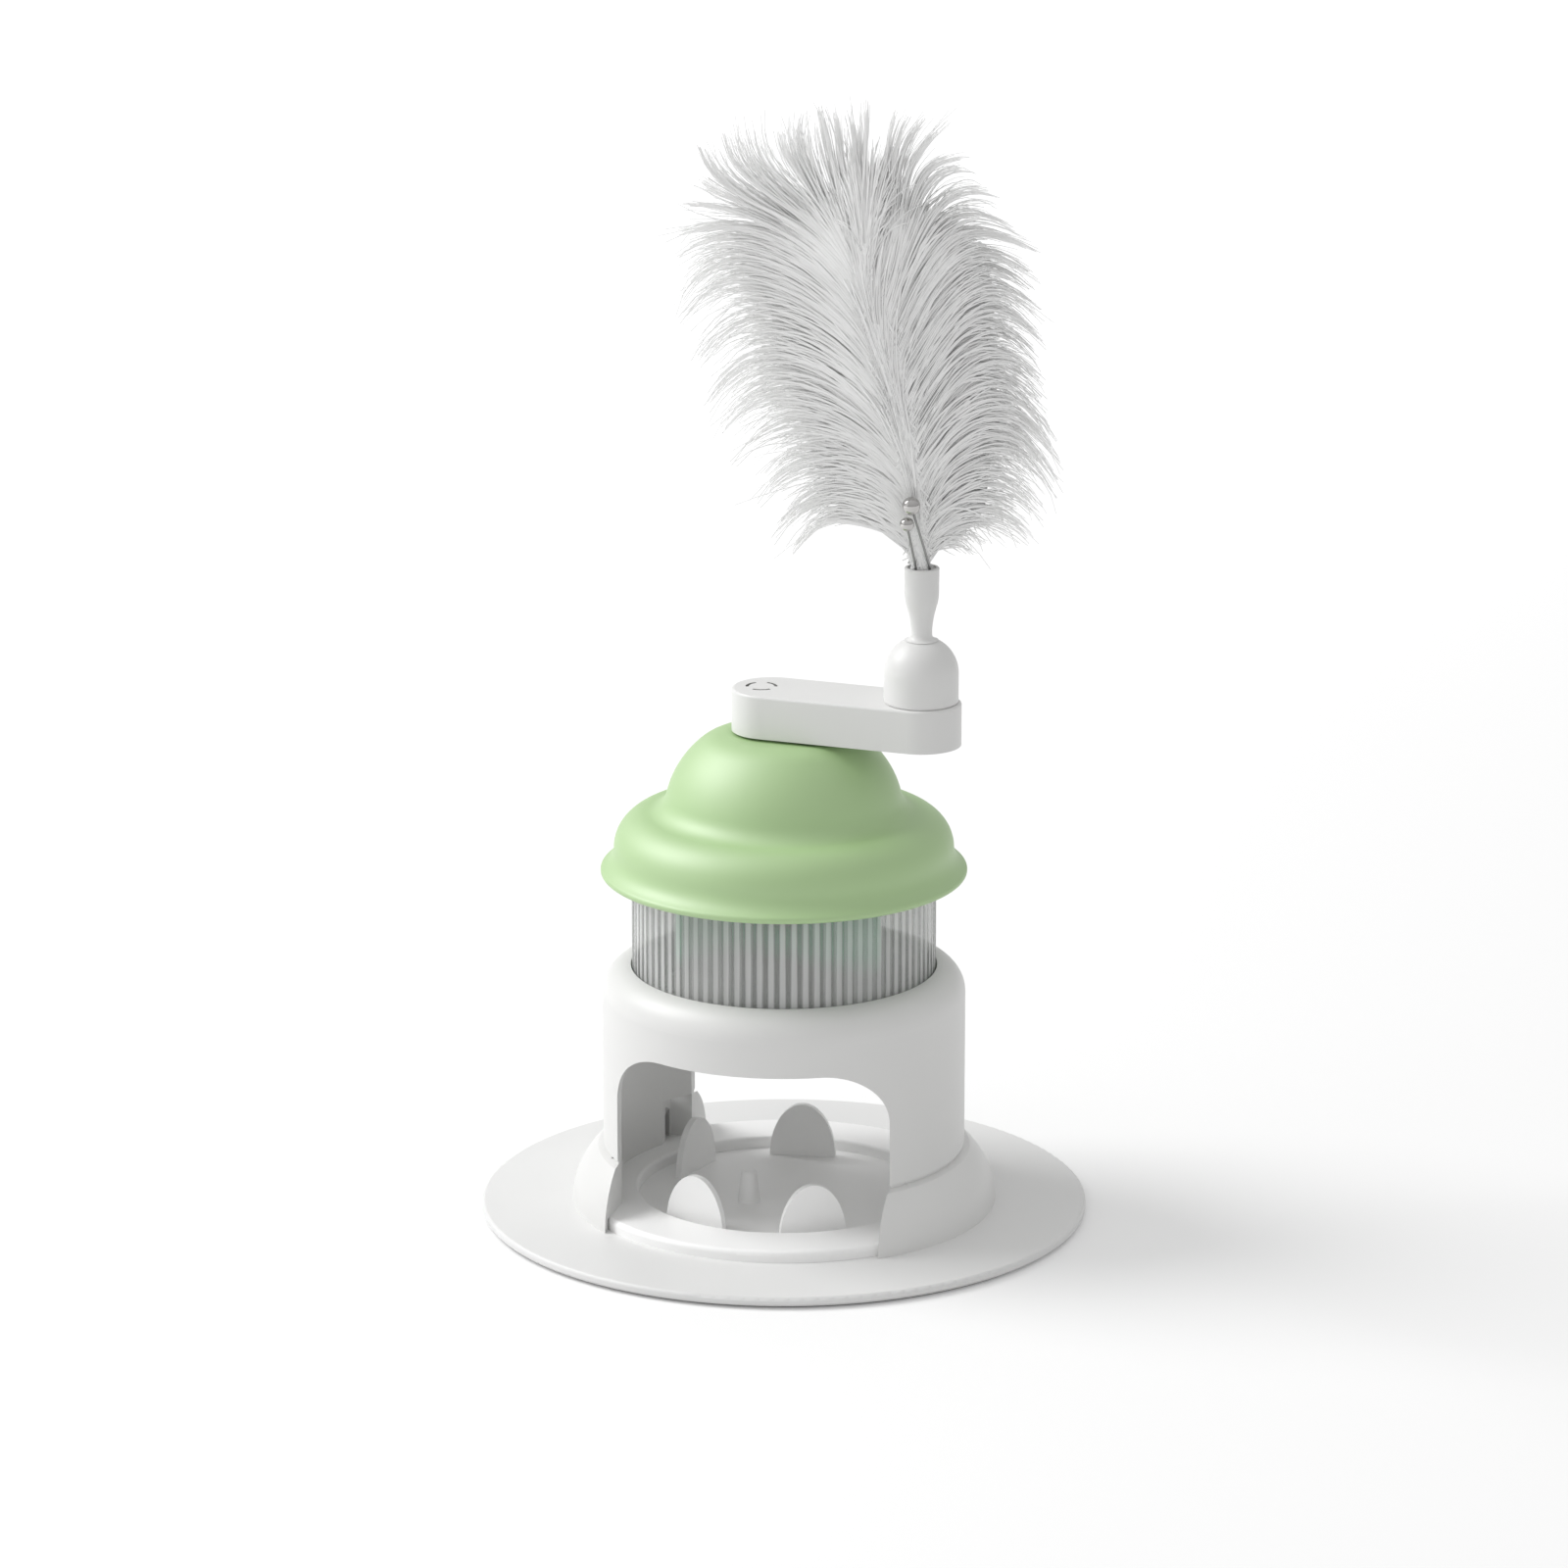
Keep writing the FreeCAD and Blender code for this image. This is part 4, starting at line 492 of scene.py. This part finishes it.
RIGHT_STROKES = [
    ((0.3, 202.0), (4.5, 206.2), (9.2, 208.0), (15.3, 206.2)),
    ((0.3, 204.5), (7.8, 214.9), (19.9, 217.0), (33.4, 211.4)),
    ((0.0, 208.0), (7.7, 221.8), (21.1, 226.6), (36.4, 218.3)),
    ((-0.1, 212.8), (7.7, 230.8), (22.4, 236.3), (38.3, 224.6)),
    ((-0.3, 217.7), (7.6, 236.3), (22.3, 242.4), (39.9, 229.4)),
    ((-0.6, 222.5), (7.6, 240.4), (22.3, 247.9), (40.5, 233.8)),
    ((-1.0, 227.3), (7.6, 246.6), (22.3, 252.7), (37.3, 242.0)),
    ((-1.6, 232.1), (7.5, 252.7), (20.9, 258.9), (37.3, 249.7)),
    ((-2.3, 236.9), (7.5, 258.2), (20.8, 265.0), (36.2, 257.9)),
    ((-3.0, 241.8), (7.2, 264.3), (20.1, 271.1), (34.6, 263.9)),
    ((-3.7, 246.6), (6.6, 269.8), (19.4, 277.3), (35.5, 268.4)),
    ((-4.5, 250.7), (5.8, 275.2), (18.7, 283.4), (34.4, 277.9)),
    ((-5.4, 254.8), (4.4, 280.0), (17.3, 288.8), (31.6, 282.0)),
    ((-6.4, 258.2), (2.9, 284.0), (15.9, 292.8), (32.6, 285.4)),
    ((-7.3, 261.6), (1.3, 287.4), (13.9, 297.6), (32.8, 292.6)),
    ((-8.3, 265.0), (-0.2, 292.2), (11.9, 303.0), (26.1, 298.7)),
    ((-9.4, 267.7), (-2.0, 296.2), (8.5, 309.0), (21.4, 309.0)),
    ((-10.3, 270.5), (-3.7, 299.6), (3.8, 313.7), (13.8, 316.0)),
    ((-11.1, 272.5), (-5.0, 300.9), (0.5, 315.1), (12.1, 319.8)),
    ((-11.8, 273.9), (-6.3, 301.6), (-3.2, 317.1), (7.6, 330.9)),
    ((-12.6, 275.9), (-8.1, 303.0), (-6.1, 319.1), (1.7, 332.5)),
    ((-13.3, 277.3), (-9.8, 303.0), (-8.4, 319.1), (-4.5, 331.9)),
    ((-14.1, 278.9), (-11.6, 301.6), (-10.4, 319.1), (-8.2, 334.5)),
]
cup_low, cup_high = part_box("feather_cup")
CUP_AXIS = np.array([(cup_low.x + cup_high.x) / 2, (cup_low.y + cup_high.y) / 2, 0])
FACE_SIDE = np.array([math.cos(VIEW_TURN), math.sin(VIEW_TURN), 0])
FACE_BACK = np.array([-math.sin(VIEW_TURN), math.cos(VIEW_TURN), 0])
UP = np.array([0, 0, 1.0])
print("plume stands at", (CUP_AXIS / MM).round(1), "mm and faces the camera")

# %% [markdown]
# ## Reading the strokes
# A real plume has hundreds of barbs on each side, far more than the strokes. The
# others are blends: between two neighbouring strokes lies every barb that passes
# partly like the one and partly like the other, and through the four points of each
# runs one smooth curve. A Bezier curve object could hold it, but thousands of them
# are quicker as arrays of numbers.

# %% Curves between and through the strokes
KNOTS = np.array([0, 1 / 3, 2 / 3, 1])
SHAFT_ACROSS, SHAFT_UP = np.array(SHAFT_LINE).T


def stroke_at(strokes, where):
    """The four points of a stroke between two neighbouring ones."""
    where = min(max(where, 0), len(strokes) - 1.001)
    first = int(where)
    part = where - first
    return np.array(strokes[first]) * (1 - part) + np.array(strokes[first + 1]) * part


def through(points, t):
    """The cubic curve through four points, read at each t."""
    return np.vander(t, 4) @ np.linalg.inv(np.vander(KNOTS, 4)) @ points


def on_shaft(up):
    """The shaft's line at a height, run on upwards past its tip."""
    return np.array([np.interp(up, SHAFT_UP, SHAFT_ACROSS), up])


halfway = stroke_at(LEFT_STROKES, 4.5)
print("tip between the strokes 4 and 5:", halfway[3].round(1), "mm across and up")

# %% [markdown]
# ## The plume's thickness
# Seen from its edge, a plume is a lens, thickest along its shaft and in its lower
# middle. A picture from the front doesn't show that, so the thickness is a guess
# from plumes of this kind. Each barb starts high on the lens and sinks towards its
# middle plane at the tip. Only the strands beside the shaft stay on the ridge.

# %% The lens and places in space
THICKNESS_UP = (203, 212, 226, 250, 290, 318, 338)
HALF_THICKNESS = (3.0, 6.0, 9.5, 16.0, 14.0, 4.5, 1.5)


def thickness_at(up):
    """Half the plume's thickness at a height, in mm."""
    return np.interp(up, THICKNESS_UP, HALF_THICKNESS)


def bulge_at(t):
    """How far a barb stands off the plume's middle plane, from its root to its tip."""
    return np.interp(t, (0, 0.12, 0.30, 0.60, 1.0), (1.0, 0.98, 0.86, 0.58, 0.22))


def crest_bulge_at(t):
    """The same for strands that climb beside the shaft: they stay on the plume's ridge."""
    return np.interp(t, (0, 0.15, 0.75, 1.0), (0.92, 1.03, 0.98, 0.55))


def in_space(path):
    """Turns (across, up, back) in mm into places round the cup, in metres."""
    path = np.asarray(path) * MM
    return CUP_AXIS + path[..., 0:1] * FACE_SIDE + path[..., 2:3] * FACE_BACK + path[..., 1:2] * UP


print("plume is up to", 2 * max(HALF_THICKNESS), "mm thick")

# %% [markdown]
# ## From strokes to barbs
# Each barb blends the two strokes beside it and joins a lock whose tips run
# together. Some climb with the shaft before they fall outwards, as water does in a
# fountain, so the shaft stays covered. Low on the plume the locks are loose and
# sag, and near its top they are tight single points. Each barb keeps to its own
# layer of the lens, so that the light rolls round the whole form.

# %% Lines of one lock
BARB_STEPS = 12
SAG = (2.5, 6.5)  # mm that a loose lock's tips droop
TIGHTENING = (0.42, 0.60)  # where along the strokes the locks go from loose to tight
CLIMB_TO = ((22, 1.5), (40, 5.0), (54, 10.0))  # mm above the root, mm out from the shaft


def barb_line(rng, points, reach, layer, droop=0.0, bulge=bulge_at):
    """One barb through four points, with a slight wave: steps x (across, up, back)."""
    t = np.linspace(0, 1, BARB_STEPS + 1) * reach
    flat = through(points, t)
    flat[:, 1] -= droop * t ** 5
    own_layer = np.clip(layer + rng.normal(0, 0.07), -1, 1)
    wave = np.sin(t * rng.uniform(3, 7) + rng.uniform(0, 6.28)) * rng.uniform(0.1, 0.6) * t
    back = -own_layer * thickness_at(flat[:, 1]) * bulge(t) + wave
    return np.column_stack([flat + wave[:, None] * 0.5, back])


def lock_lines(rng, strokes, where, members, reach, layer, climbing, looseness, fan=0.55):
    """Centre lines of one lock: members x steps x (across, up, back), in mm."""
    lead = stroke_at(strokes, where)
    side = 1 if strokes is RIGHT_STROKES else -1
    tight = np.interp(where / (len(strokes) - 1), TIGHTENING, (0, 1))
    sag = rng.uniform(*SAG) * (1 - tight)
    pull = 0.55 + 0.35 * tight
    lines = []
    for _ in range(members):
        points = stroke_at(strokes, where + rng.normal(0, fan * (1 - 0.5 * tight)))
        gather = rng.uniform(pull, 0.97 + 0.03 * tight)
        points[3] += (lead[3] - points[3]) * gather
        points[2] += (lead[2] - points[2]) * gather * pull
        climb = np.clip(rng.normal(climbing, 0.10), 0, 0.95)
        for knot, (rise, out) in enumerate(CLIMB_TO, start=1):
            high = on_shaft(points[0][1] + rise) + (side * out, 0)
            points[knot] += (high - points[knot]) * climb
        points[2:] += rng.normal(0, looseness * (1 - 0.4 * tight), (2, 2))
        points[0] = on_shaft(points[0][1] + rng.normal(0, 2.5)) + (rng.normal(-side, 1.2), 0)
        lines.append(barb_line(rng, points, reach * rng.uniform(0.88, 1.0), layer, sag))
    return lines


sample = np.array(lock_lines(np.random.default_rng(1), LEFT_STROKES, 5, 1, 1.0, 0.0, 0.0, 0.0))
lengths = np.linalg.norm(np.diff(sample, axis=1), axis=2).sum(axis=1)
print("a barb low on the left is", round(float(lengths[0])), "mm long")

# %% [markdown]
# ## Down, darker between its strands
# Light enters a plume and comes out soft and white, but between two strands it is
# lost. True hair shading needs very many samples. Here each point of the plume
# carries three numbers: how far along the barb it lies, how far across, and how
# deep the barb is buried. The finish darkens the two edges of a barb by its depth,
# and on the closed body it draws strands with drawn-out noise. The plume's right
# side faces away from the lamp, so its gaps are darker than those on the left.

# %% Finishes of the plume
PLUME_WHITE = (0.985, 0.985, 0.98)
LIT_GAP, SHADED_GAP, CREST_GAP = 0.96, 0.22, 0.38
STRANDS = (1.6, 9.0, 1.0)  # noise cells along a barb and from stroke to stroke
STRAND_DEPTH = 0.0008


def feather_finish(name, gap, combed=False):
    """White down that is darker between strands; combed draws its strands itself."""
    finish, tree, shader = new_finish(
        name, IOR=1.4, Roughness=0.75, Sheen_Weight=0.3, Sheen_Roughness=0.6
    )
    dark = scaled(PLUME_WHITE, gap)
    place = add_node(tree, "ShaderNodeAttribute", attribute_name="barb_place").outputs["Vector"]
    if combed:
        rows = add_node(
            tree, "ShaderNodeVectorMath", {0: place, 1: STRANDS}, operation="MULTIPLY"
        )
        strand = noise(tree, rows.outputs["Vector"], 1.0, 3.0, 0.6)
        tint = shades(tree, strand, (0.38, dark), (0.60, PLUME_WHITE))
        bumps(tree, shader, (strand, 0.6, STRAND_DEPTH))
    else:
        parts = apart(tree, place)
        edge = calculate(tree, "ABSOLUTE", parts["Y"])
        shade = calculate(tree, "MULTIPLY", edge, parts["Z"])
        tint = shades(tree, shade, (0.15, PLUME_WHITE), (1.0, dark))
    feed(tree, shader, Base_Color=tint)
    return finish


lit_down = feather_finish("plume_lit_down", LIT_GAP)
shaded_down = feather_finish("plume_shaded_down", SHADED_GAP)
crest_down = feather_finish("plume_crest_down", CREST_GAP)
lit_heart = feather_finish("plume_lit_heart", LIT_GAP, combed=True)
shaded_heart = feather_finish("plume_shaded_heart", SHADED_GAP, combed=True)
print("plume finishes:", lit_down.name, "to", shaded_heart.name)

# %% [markdown]
# ## A mesh that carries its own numbers
# The finish of the down reads three numbers at each point. Texture coordinates
# hold only two, so the mesh gets an attribute of its own, which the finish looks up
# by its name. One mesh holds all ribbons of a kind, because thousands of separate
# objects would be slow to move and to render.

# %% A plume piece and the numbers at its points
RIDGE = 0.35  # height of a ribbon's ridge over half its width


def plume_mesh(name, points, quads, places, finish):
    """A plume piece; places holds a vector for the finish at each point."""
    mesh = bpy.data.meshes.new(name)
    mesh.from_pydata(points.reshape(-1, 3).tolist(), [], quads.tolist())
    mesh.polygons.foreach_set("use_smooth", [True] * len(mesh.polygons))
    mesh.attributes.new("barb_place", "FLOAT_VECTOR", "POINT").data.foreach_set(
        "vector", np.ascontiguousarray(places, dtype=np.float32).ravel()
    )
    mesh.materials.append(finish)
    piece = bpy.data.objects.new(name, mesh)
    scene.collection.objects.link(piece)
    return piece


def barb_places(count, steps):
    """Along, across and depth at each point, three points wide."""
    along = np.linspace(0, 1, steps)
    buried = np.interp(along, (0, 0.10, 0.45, 1), (0.2, 1.0, 0.7, 0.15))
    depth = np.random.default_rng(count).uniform(0.3, 1.0, (count, 1, 1))
    places = np.empty((count, steps, 3, 3))
    places[..., 0] = along[None, :, None]
    places[..., 1] = (-1, RIDGE, 1)
    places[..., 2] = depth * buried[None, :, None]
    return places


print("numbers for one ribbon:", barb_places(1, BARB_STEPS + 1).size)

# %% [markdown]
# ## Barbs as narrow ribbons
# A barb carries fine down on both edges, so from a step away it looks like a soft
# flat band rather than a wire. Each one is skinned as a narrow ribbon with a low
# ridge, turned a little about its own line and drawn out to a point. Broad ribbons
# make the soft mass, narrow ones the strands that part from it at the outline.

# %% Ribbons along the lines
def unit(vectors):
    return vectors / np.linalg.norm(vectors, axis=-1, keepdims=True)


def ribbon_skin(name, lines, widths, twists, finish):
    """Skins lines with ribbons three points wide; widths are root, middle and tip in mm."""
    centre = in_space(lines)
    count, steps = centre.shape[:2]
    tangent = unit(np.gradient(centre, axis=1))
    side = unit(np.cross(tangent, FACE_BACK))
    front = -np.cross(side, tangent)
    turn = np.asarray(twists)[:, None, None]
    edge = side * np.cos(turn) + front * np.sin(turn)
    ridge = front * np.cos(turn) - side * np.sin(turn)
    root, middle, tip = widths
    shape = np.interp(
        np.linspace(0, 1, steps), (0, 0.35, 0.75, 1), (root, middle, middle * 0.8, tip)
    )
    half = shape[None, :, None] * MM / 2
    rows = (centre - edge * half, centre + ridge * half * RIDGE, centre + edge * half)
    points = np.stack(rows, axis=2)
    base = (np.arange(count)[:, None] * steps * 3 + np.arange(steps - 1)[None, :] * 3).reshape(-1)
    left = np.stack([base, base + 1, base + 4, base + 3], axis=1)
    quads = np.concatenate([left, left + 1])
    return plume_mesh(name, points, quads, barb_places(count, steps), finish)


print("a ribbon has", 2 * BARB_STEPS, "faces")

# %% [markdown]
# ## The plume's heart
# Deep in the plume the barbs are so dense that they close into a soft pale body.
# It could be filled with ever more ribbons, but a thin lens laid through the same
# strokes does the same for a few faces, and keeps the gaps from turning black. Its
# front and back draw together towards the plume's top, where strands stand alone.

# %% The closed heart of the plume
HEART_COLUMNS, ROWS_TO_A_STROKE = 10, 3
LEFT_HEART, RIGHT_HEART = 0.72, 0.50  # share of the plume's thickness


def heart_reach(strokes, where):
    """How far out the heart goes: less far at the top, where strands stand apart."""
    return np.interp(where / (len(strokes) - 1), (0, 0.5, 0.7, 1.0), (0.62, 0.62, 0.44, 0.32))


def heart_face(strokes, rows, t, depth):
    """One face of the heart: rows x columns x (across, up, back)."""
    face = []
    for where in rows:
        closing = np.interp(where / rows[-1], (0.72, 0.98), (1, 0.15))
        out = t * heart_reach(strokes, where)
        flat = through(stroke_at(strokes, where), out)
        rounding = bulge_at(out) * np.sqrt(1 - t ** 4)
        back = -depth * closing * thickness_at(flat[:, 1]) * rounding
        face.append(np.column_stack([flat, back]))
    return face


def grow_heart(name, strokes, depth, finish):
    """The lens of one side: front and back faces that meet along their outer rim."""
    rows = np.linspace(0, len(strokes) - 1.001, ROWS_TO_A_STROKE * len(strokes))
    t = np.linspace(0, 1, HEART_COLUMNS)
    points = in_space([heart_face(strokes, rows, t, face) for face in (depth, -depth)])
    count, wide = len(rows), HEART_COLUMNS
    base = (np.arange(count - 1)[:, None] * wide + np.arange(wide - 1)[None, :]).reshape(-1)
    quads = np.stack([base, base + 1, base + wide + 1, base + wide], axis=1)
    places = np.empty((2, count, wide, 3))
    places[..., 0] = t
    places[..., 1] = rows[:, None]
    places[..., 2] = 0
    return plume_mesh(name, points, np.concatenate([quads, quads + count * wide]), places, finish)


hearts = [
    grow_heart("plume_left_heart", LEFT_STROKES, LEFT_HEART, lit_heart),
    grow_heart("plume_right_heart", RIGHT_STROKES, RIGHT_HEART, shaded_heart),
]
print("heart faces", sum(len(heart.data.polygons) for heart in hearts))

# %% [markdown]
# ## The soft mass
# Over the heart come broad short ribbons, in layers that hug its front and back. A
# hair system would scatter their roots. Here they are spread evenly from the lowest
# stroke to the highest, so that no bare patch is left, and only layer, reach and
# climb differ at random. Towards the top they stop early, where a plume gets thin.

# %% Growing the mass of one side
MASS_LAYERS = (0.98, 0.90, 0.82, -0.82, -0.95)  # 1 is the front face, -1 the back one
MASS_SHARE = (0.27, 0.23, 0.18, 0.14, 0.18)
MASS_WIDTHS, MASS_MEMBERS = (0.42, 0.64, 0.14), 4


def short_reach(strokes, where):
    """Reach of what fills the space between main locks, less towards the top."""
    stops = (0.38, 0.52, 0.67, 1.0) if strokes is LEFT_STROKES else (0.55, 0.68, 0.78, 1.0)
    return np.interp(where / (len(strokes) - 1), stops, (0.84, 0.65, 0.50, 0.43))


def grow_mass(name, seed, strokes, amount, finish):
    """Small locks of broad ribbons, spread evenly along the shaft."""
    rng = np.random.default_rng(seed)
    lines, twists = [], []
    for number in range(amount):
        where = number / amount * (len(strokes) - 1.001)
        layer = rng.choice(MASS_LAYERS, p=MASS_SHARE)
        climbing = rng.choice((0.0, 0.25, 0.6), p=(0.5, 0.3, 0.2))
        reach = rng.uniform(0.78, 1.0) * short_reach(strokes, where)
        lines += lock_lines(rng, strokes, where, MASS_MEMBERS, reach, layer, climbing, 1.2)
        twists += list(rng.normal(0, 0.10, MASS_MEMBERS))
    return ribbon_skin(name, lines, MASS_WIDTHS, twists, finish)


mass = [
    grow_mass("plume_left_down", 11, LEFT_STROKES, 950, lit_down),
    grow_mass("plume_right_down", 12, RIGHT_STROKES, 560, shaded_down),
]
print("faces of the mass", sum(len(piece.data.polygons) for piece in mass))

# %% [markdown]
# ## The barbs
# A main lock grows at each measured stroke and a shorter one between two of them,
# which gives the outline its notches. Scattering them at random over the shaft
# would be simpler, but it would lose that outline. Near the top a lock has fewer
# barbs, so that single strands stand up against the light.

# %% Growing the barbs of one side
BARB_LAYERS = (0.98, 0.80, 0.2, -0.7)
BARB_WIDTHS, BARB_MEMBERS, TOP_MEMBERS = (0.40, 0.42, 0.18), 9, 5


def grow_barbs(name, seed, strokes, finish):
    """A main lock at each stroke and a shorter one between two, in four layers."""
    rng = np.random.default_rng(seed)
    lines, twists = [], []
    for number in range(2 * len(strokes) - 1):
        main = number % 2 == 0
        loose = 0.35 if main else 0.7
        for layer in BARB_LAYERS:
            where = number / 2 + rng.normal(0, 0.06)
            if main:
                reach = rng.uniform(0.97, 1.02)
            else:
                reach = rng.uniform(0.92, 1.06) * short_reach(strokes, where)
            steep = layer > 0.5 and rng.uniform() >= 0.5
            climbing = rng.choice((0.15, 0.45)) if steep else 0.0
            members = TOP_MEMBERS if where > 0.66 * len(strokes) else BARB_MEMBERS
            lines += lock_lines(rng, strokes, where, members, reach, layer, climbing, loose, 0.45)
            twists += list(rng.normal(0, 0.3, members))
    return ribbon_skin(name, lines, BARB_WIDTHS, twists, finish)


barbs = [
    grow_barbs("plume_left_barbs", 13, LEFT_STROKES, lit_down),
    grow_barbs("plume_right_barbs", 14, RIGHT_STROKES, shaded_down),
]
print("faces of the barbs", sum(len(piece.data.polygons) for piece in barbs))

# %% [markdown]
# ## The crest
# The shaft itself hardly shows: barbs from lower down run up beside it, in front
# and behind, and part only near their tips. The side locks leave it too soon to
# cover it, so this crest is grown along the shaft's own line.

# %% Growing the crest
CREST_FOOT, CREST_SPAN = 203, 92  # mm up to the lowest root, and from it to the highest
CREST_LAYERS = (1.0, 0.95, 0.9, -0.9, -1.0)
CREST_WIDTHS, CREST_MEMBERS = (0.42, 0.55, 0.14), 3


def grow_crest(name, seed, amount, finish):
    """Small locks that climb beside the shaft and lean out near their tips."""
    rng = np.random.default_rng(seed)
    lines, twists = [], []
    for _ in range(amount):
        foot = CREST_FOOT + CREST_SPAN * rng.uniform() ** 0.7
        length = min(rng.uniform(32, 58), rng.uniform(306, 330) - foot)
        lean, layer = rng.normal(0, 5.0), rng.choice(CREST_LAYERS)
        for _ in range(CREST_MEMBERS):
            points = np.array([on_shaft(foot + length * knot) for knot in KNOTS])
            own_lean = lean + rng.normal(0, 1.5)
            points[:, 0] += own_lean * KNOTS ** 1.8 + rng.normal(0, 0.6)
            points[3, 1] -= abs(own_lean) * 0.3
            reach = rng.uniform(0.85, 1.0)
            lines.append(barb_line(rng, points, reach, layer, bulge=crest_bulge_at))
            twists.append(rng.normal(0, 0.25))
    return ribbon_skin(name, lines, CREST_WIDTHS, twists, finish)


crest = grow_crest("plume_crest", 17, 520, crest_down)
print("faces of the crest", len(crest.data.polygons))

# %% [markdown]
# ## Loose wisps
# Not every barb keeps to its lock. A few fine ones leave it and twist more than the
# rest. Without them the outline would look clipped, while more looseness in all
# barbs would blur the locks.

# %% Growing the wisps of one side
WISP_WIDTHS, WISP_MEMBERS = (0.30, 0.36, 0.14), 2


def grow_wisps(name, seed, strokes, amount, finish):
    """Pairs of fine barbs anywhere on the side, in any layer."""
    rng = np.random.default_rng(seed)
    lines, twists = [], []
    for _ in range(amount):
        where = rng.uniform(0, len(strokes) - 1.001)
        reach, layer = rng.uniform(0.92, 1.07), rng.uniform(-1, 1)
        lines += lock_lines(rng, strokes, where, WISP_MEMBERS, reach, layer, 0.0, 1.3)
        twists += list(rng.normal(0, 0.6, WISP_MEMBERS))
    return ribbon_skin(name, lines, WISP_WIDTHS, twists, finish)


wisps = [
    grow_wisps("plume_left_wisps", 15, LEFT_STROKES, 150, lit_down),
    grow_wisps("plume_right_wisps", 16, RIGHT_STROKES, 120, shaded_down),
]
print("faces of the wisps", sum(len(piece.data.polygons) for piece in wisps))

# %% [markdown]
# ## The plume takes its place
# The CAD plume is one plain soft form. The new pieces stand in for it and ride with
# the stalk's body, so that they move as it would.

# %% Put the plume in the frame
for piece in hearts + mass + barbs + [crest] + wisps:
    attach(piece, "feather")
    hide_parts("feather_plume")
    print(piece.name, "rides with the feather's body")

# %% [markdown]
# ## Studio floor
# The toy stands on a pale floor in a white studio. A photographer would light the
# backdrop by itself until it is pure white. Here the floor glows a little, but only
# for rays that come straight from the camera, a shiny face or a clear one, and more
# the farther it is from the toy. So it reads as white, keeps the shadow, and throws
# no extra light on the toy.

# %% Floor
FLOOR_HALF = 12
GLOW_FROM, GLOW_TO = 0.25, 2.2  # metres from the toy's middle
GLOW_NEAR, GLOW_FAR = 0.16, 0.46


def flat_square(name, half, height):
    mesh = bpy.data.meshes.new(name)
    corners = ((-half, -half), (half, -half), (half, half), (-half, half))
    mesh.from_pydata([(x, y, height) for x, y in corners], [], [(0, 1, 2, 3)])
    square = bpy.data.objects.new(name, mesh)
    scene.collection.objects.link(square)
    return square


def studio_floor_finish():
    finish, tree, shader = new_finish("studio_floor", Roughness=0.9, Specular_IOR_Level=0.0)
    shader.inputs["Base Color"].default_value = (0.80, 0.80, 0.80, 1)
    shader.inputs["Emission Color"].default_value = (1, 1, 1, 1)
    rays = add_node(tree, "ShaderNodeLightPath").outputs
    seen = calculate(tree, "MAXIMUM", rays["Is Camera Ray"], rays["Is Glossy Ray"])
    seen = calculate(tree, "MAXIMUM", seen, rays["Is Transmission Ray"])
    away = add_node(tree, "ShaderNodeVectorMath", {0: in_object(tree)}, operation="LENGTH")
    glow = remap(
        tree, away.outputs["Value"], (GLOW_FROM, GLOW_TO), (GLOW_NEAR, GLOW_FAR),
        interpolation_type="SMOOTHSTEP",
    )
    feed(tree, shader, Emission_Strength=calculate(tree, "MULTIPLY", seen, glow))
    return finish


floor = flat_square("studio_floor", FLOOR_HALF, 0)
floor.data.materials.append(studio_floor_finish())
print("floor", 2 * FLOOR_HALF, "m wide")

# %% [markdown]
# ## Sky and lamps
# A single bare lamp would draw hard shadows. One large soft lamp at the left, above,
# models the round shapes and sends a faint wide shadow to the right, and a weak one
# fills the plume from the front left. The sky is brighter overhead than at the
# horizon, so upright walls stay a little greyer than what lies flat.

# %% Sky and softboxes
SKY_HORIZON, SKY_TOP = 0.50, 0.73
TOY_MIDDLE = Vector((0, 0, 0.12))


def studio_sky():
    """A plain white sky, brighter overhead."""
    world = bpy.data.worlds.new("studio_sky")
    world.use_nodes = True
    tree = world.node_tree
    sky = tree.nodes["Background"]
    sky.inputs["Color"].default_value = (1, 1, 1, 1)
    heading = add_node(tree, "ShaderNodeTexCoord").outputs["Generated"]
    rise = apart(tree, heading)["Z"]
    feed(tree, sky, Strength=remap(tree, rise, (0.0, 1.0), (SKY_HORIZON, SKY_TOP)))
    return world


def softbox(name, place, size, power):
    """A round soft lamp that looks at the middle of the toy."""
    lamp_data = bpy.data.lights.new(name, "AREA")
    lamp_data.shape = "DISK"
    lamp_data.size = size
    lamp_data.energy = power
    lamp = bpy.data.objects.new(name, lamp_data)
    lamp.location = place
    lamp.rotation_euler = (TOY_MIDDLE - Vector(place)).to_track_quat("-Z", "Y").to_euler()
    scene.collection.objects.link(lamp)
    return lamp


scene.world = studio_sky()
left_lamp = softbox("left_softbox", (-1.60, -0.02, 1.55), 1.3, 32)
front_lamp = softbox("front_softbox", (-1.6, -1.1, 0.8), 1.8, 3)
print("sky and lamps:", left_lamp.data.energy, "W left,", front_lamp.data.energy, "W front")

# %% [markdown]
# ## Colours as written
# A film look would bend the colours. The Standard view shows each one as it is
# written, which a product picture needs.

# %% View
scene.view_settings.view_transform = "Standard"
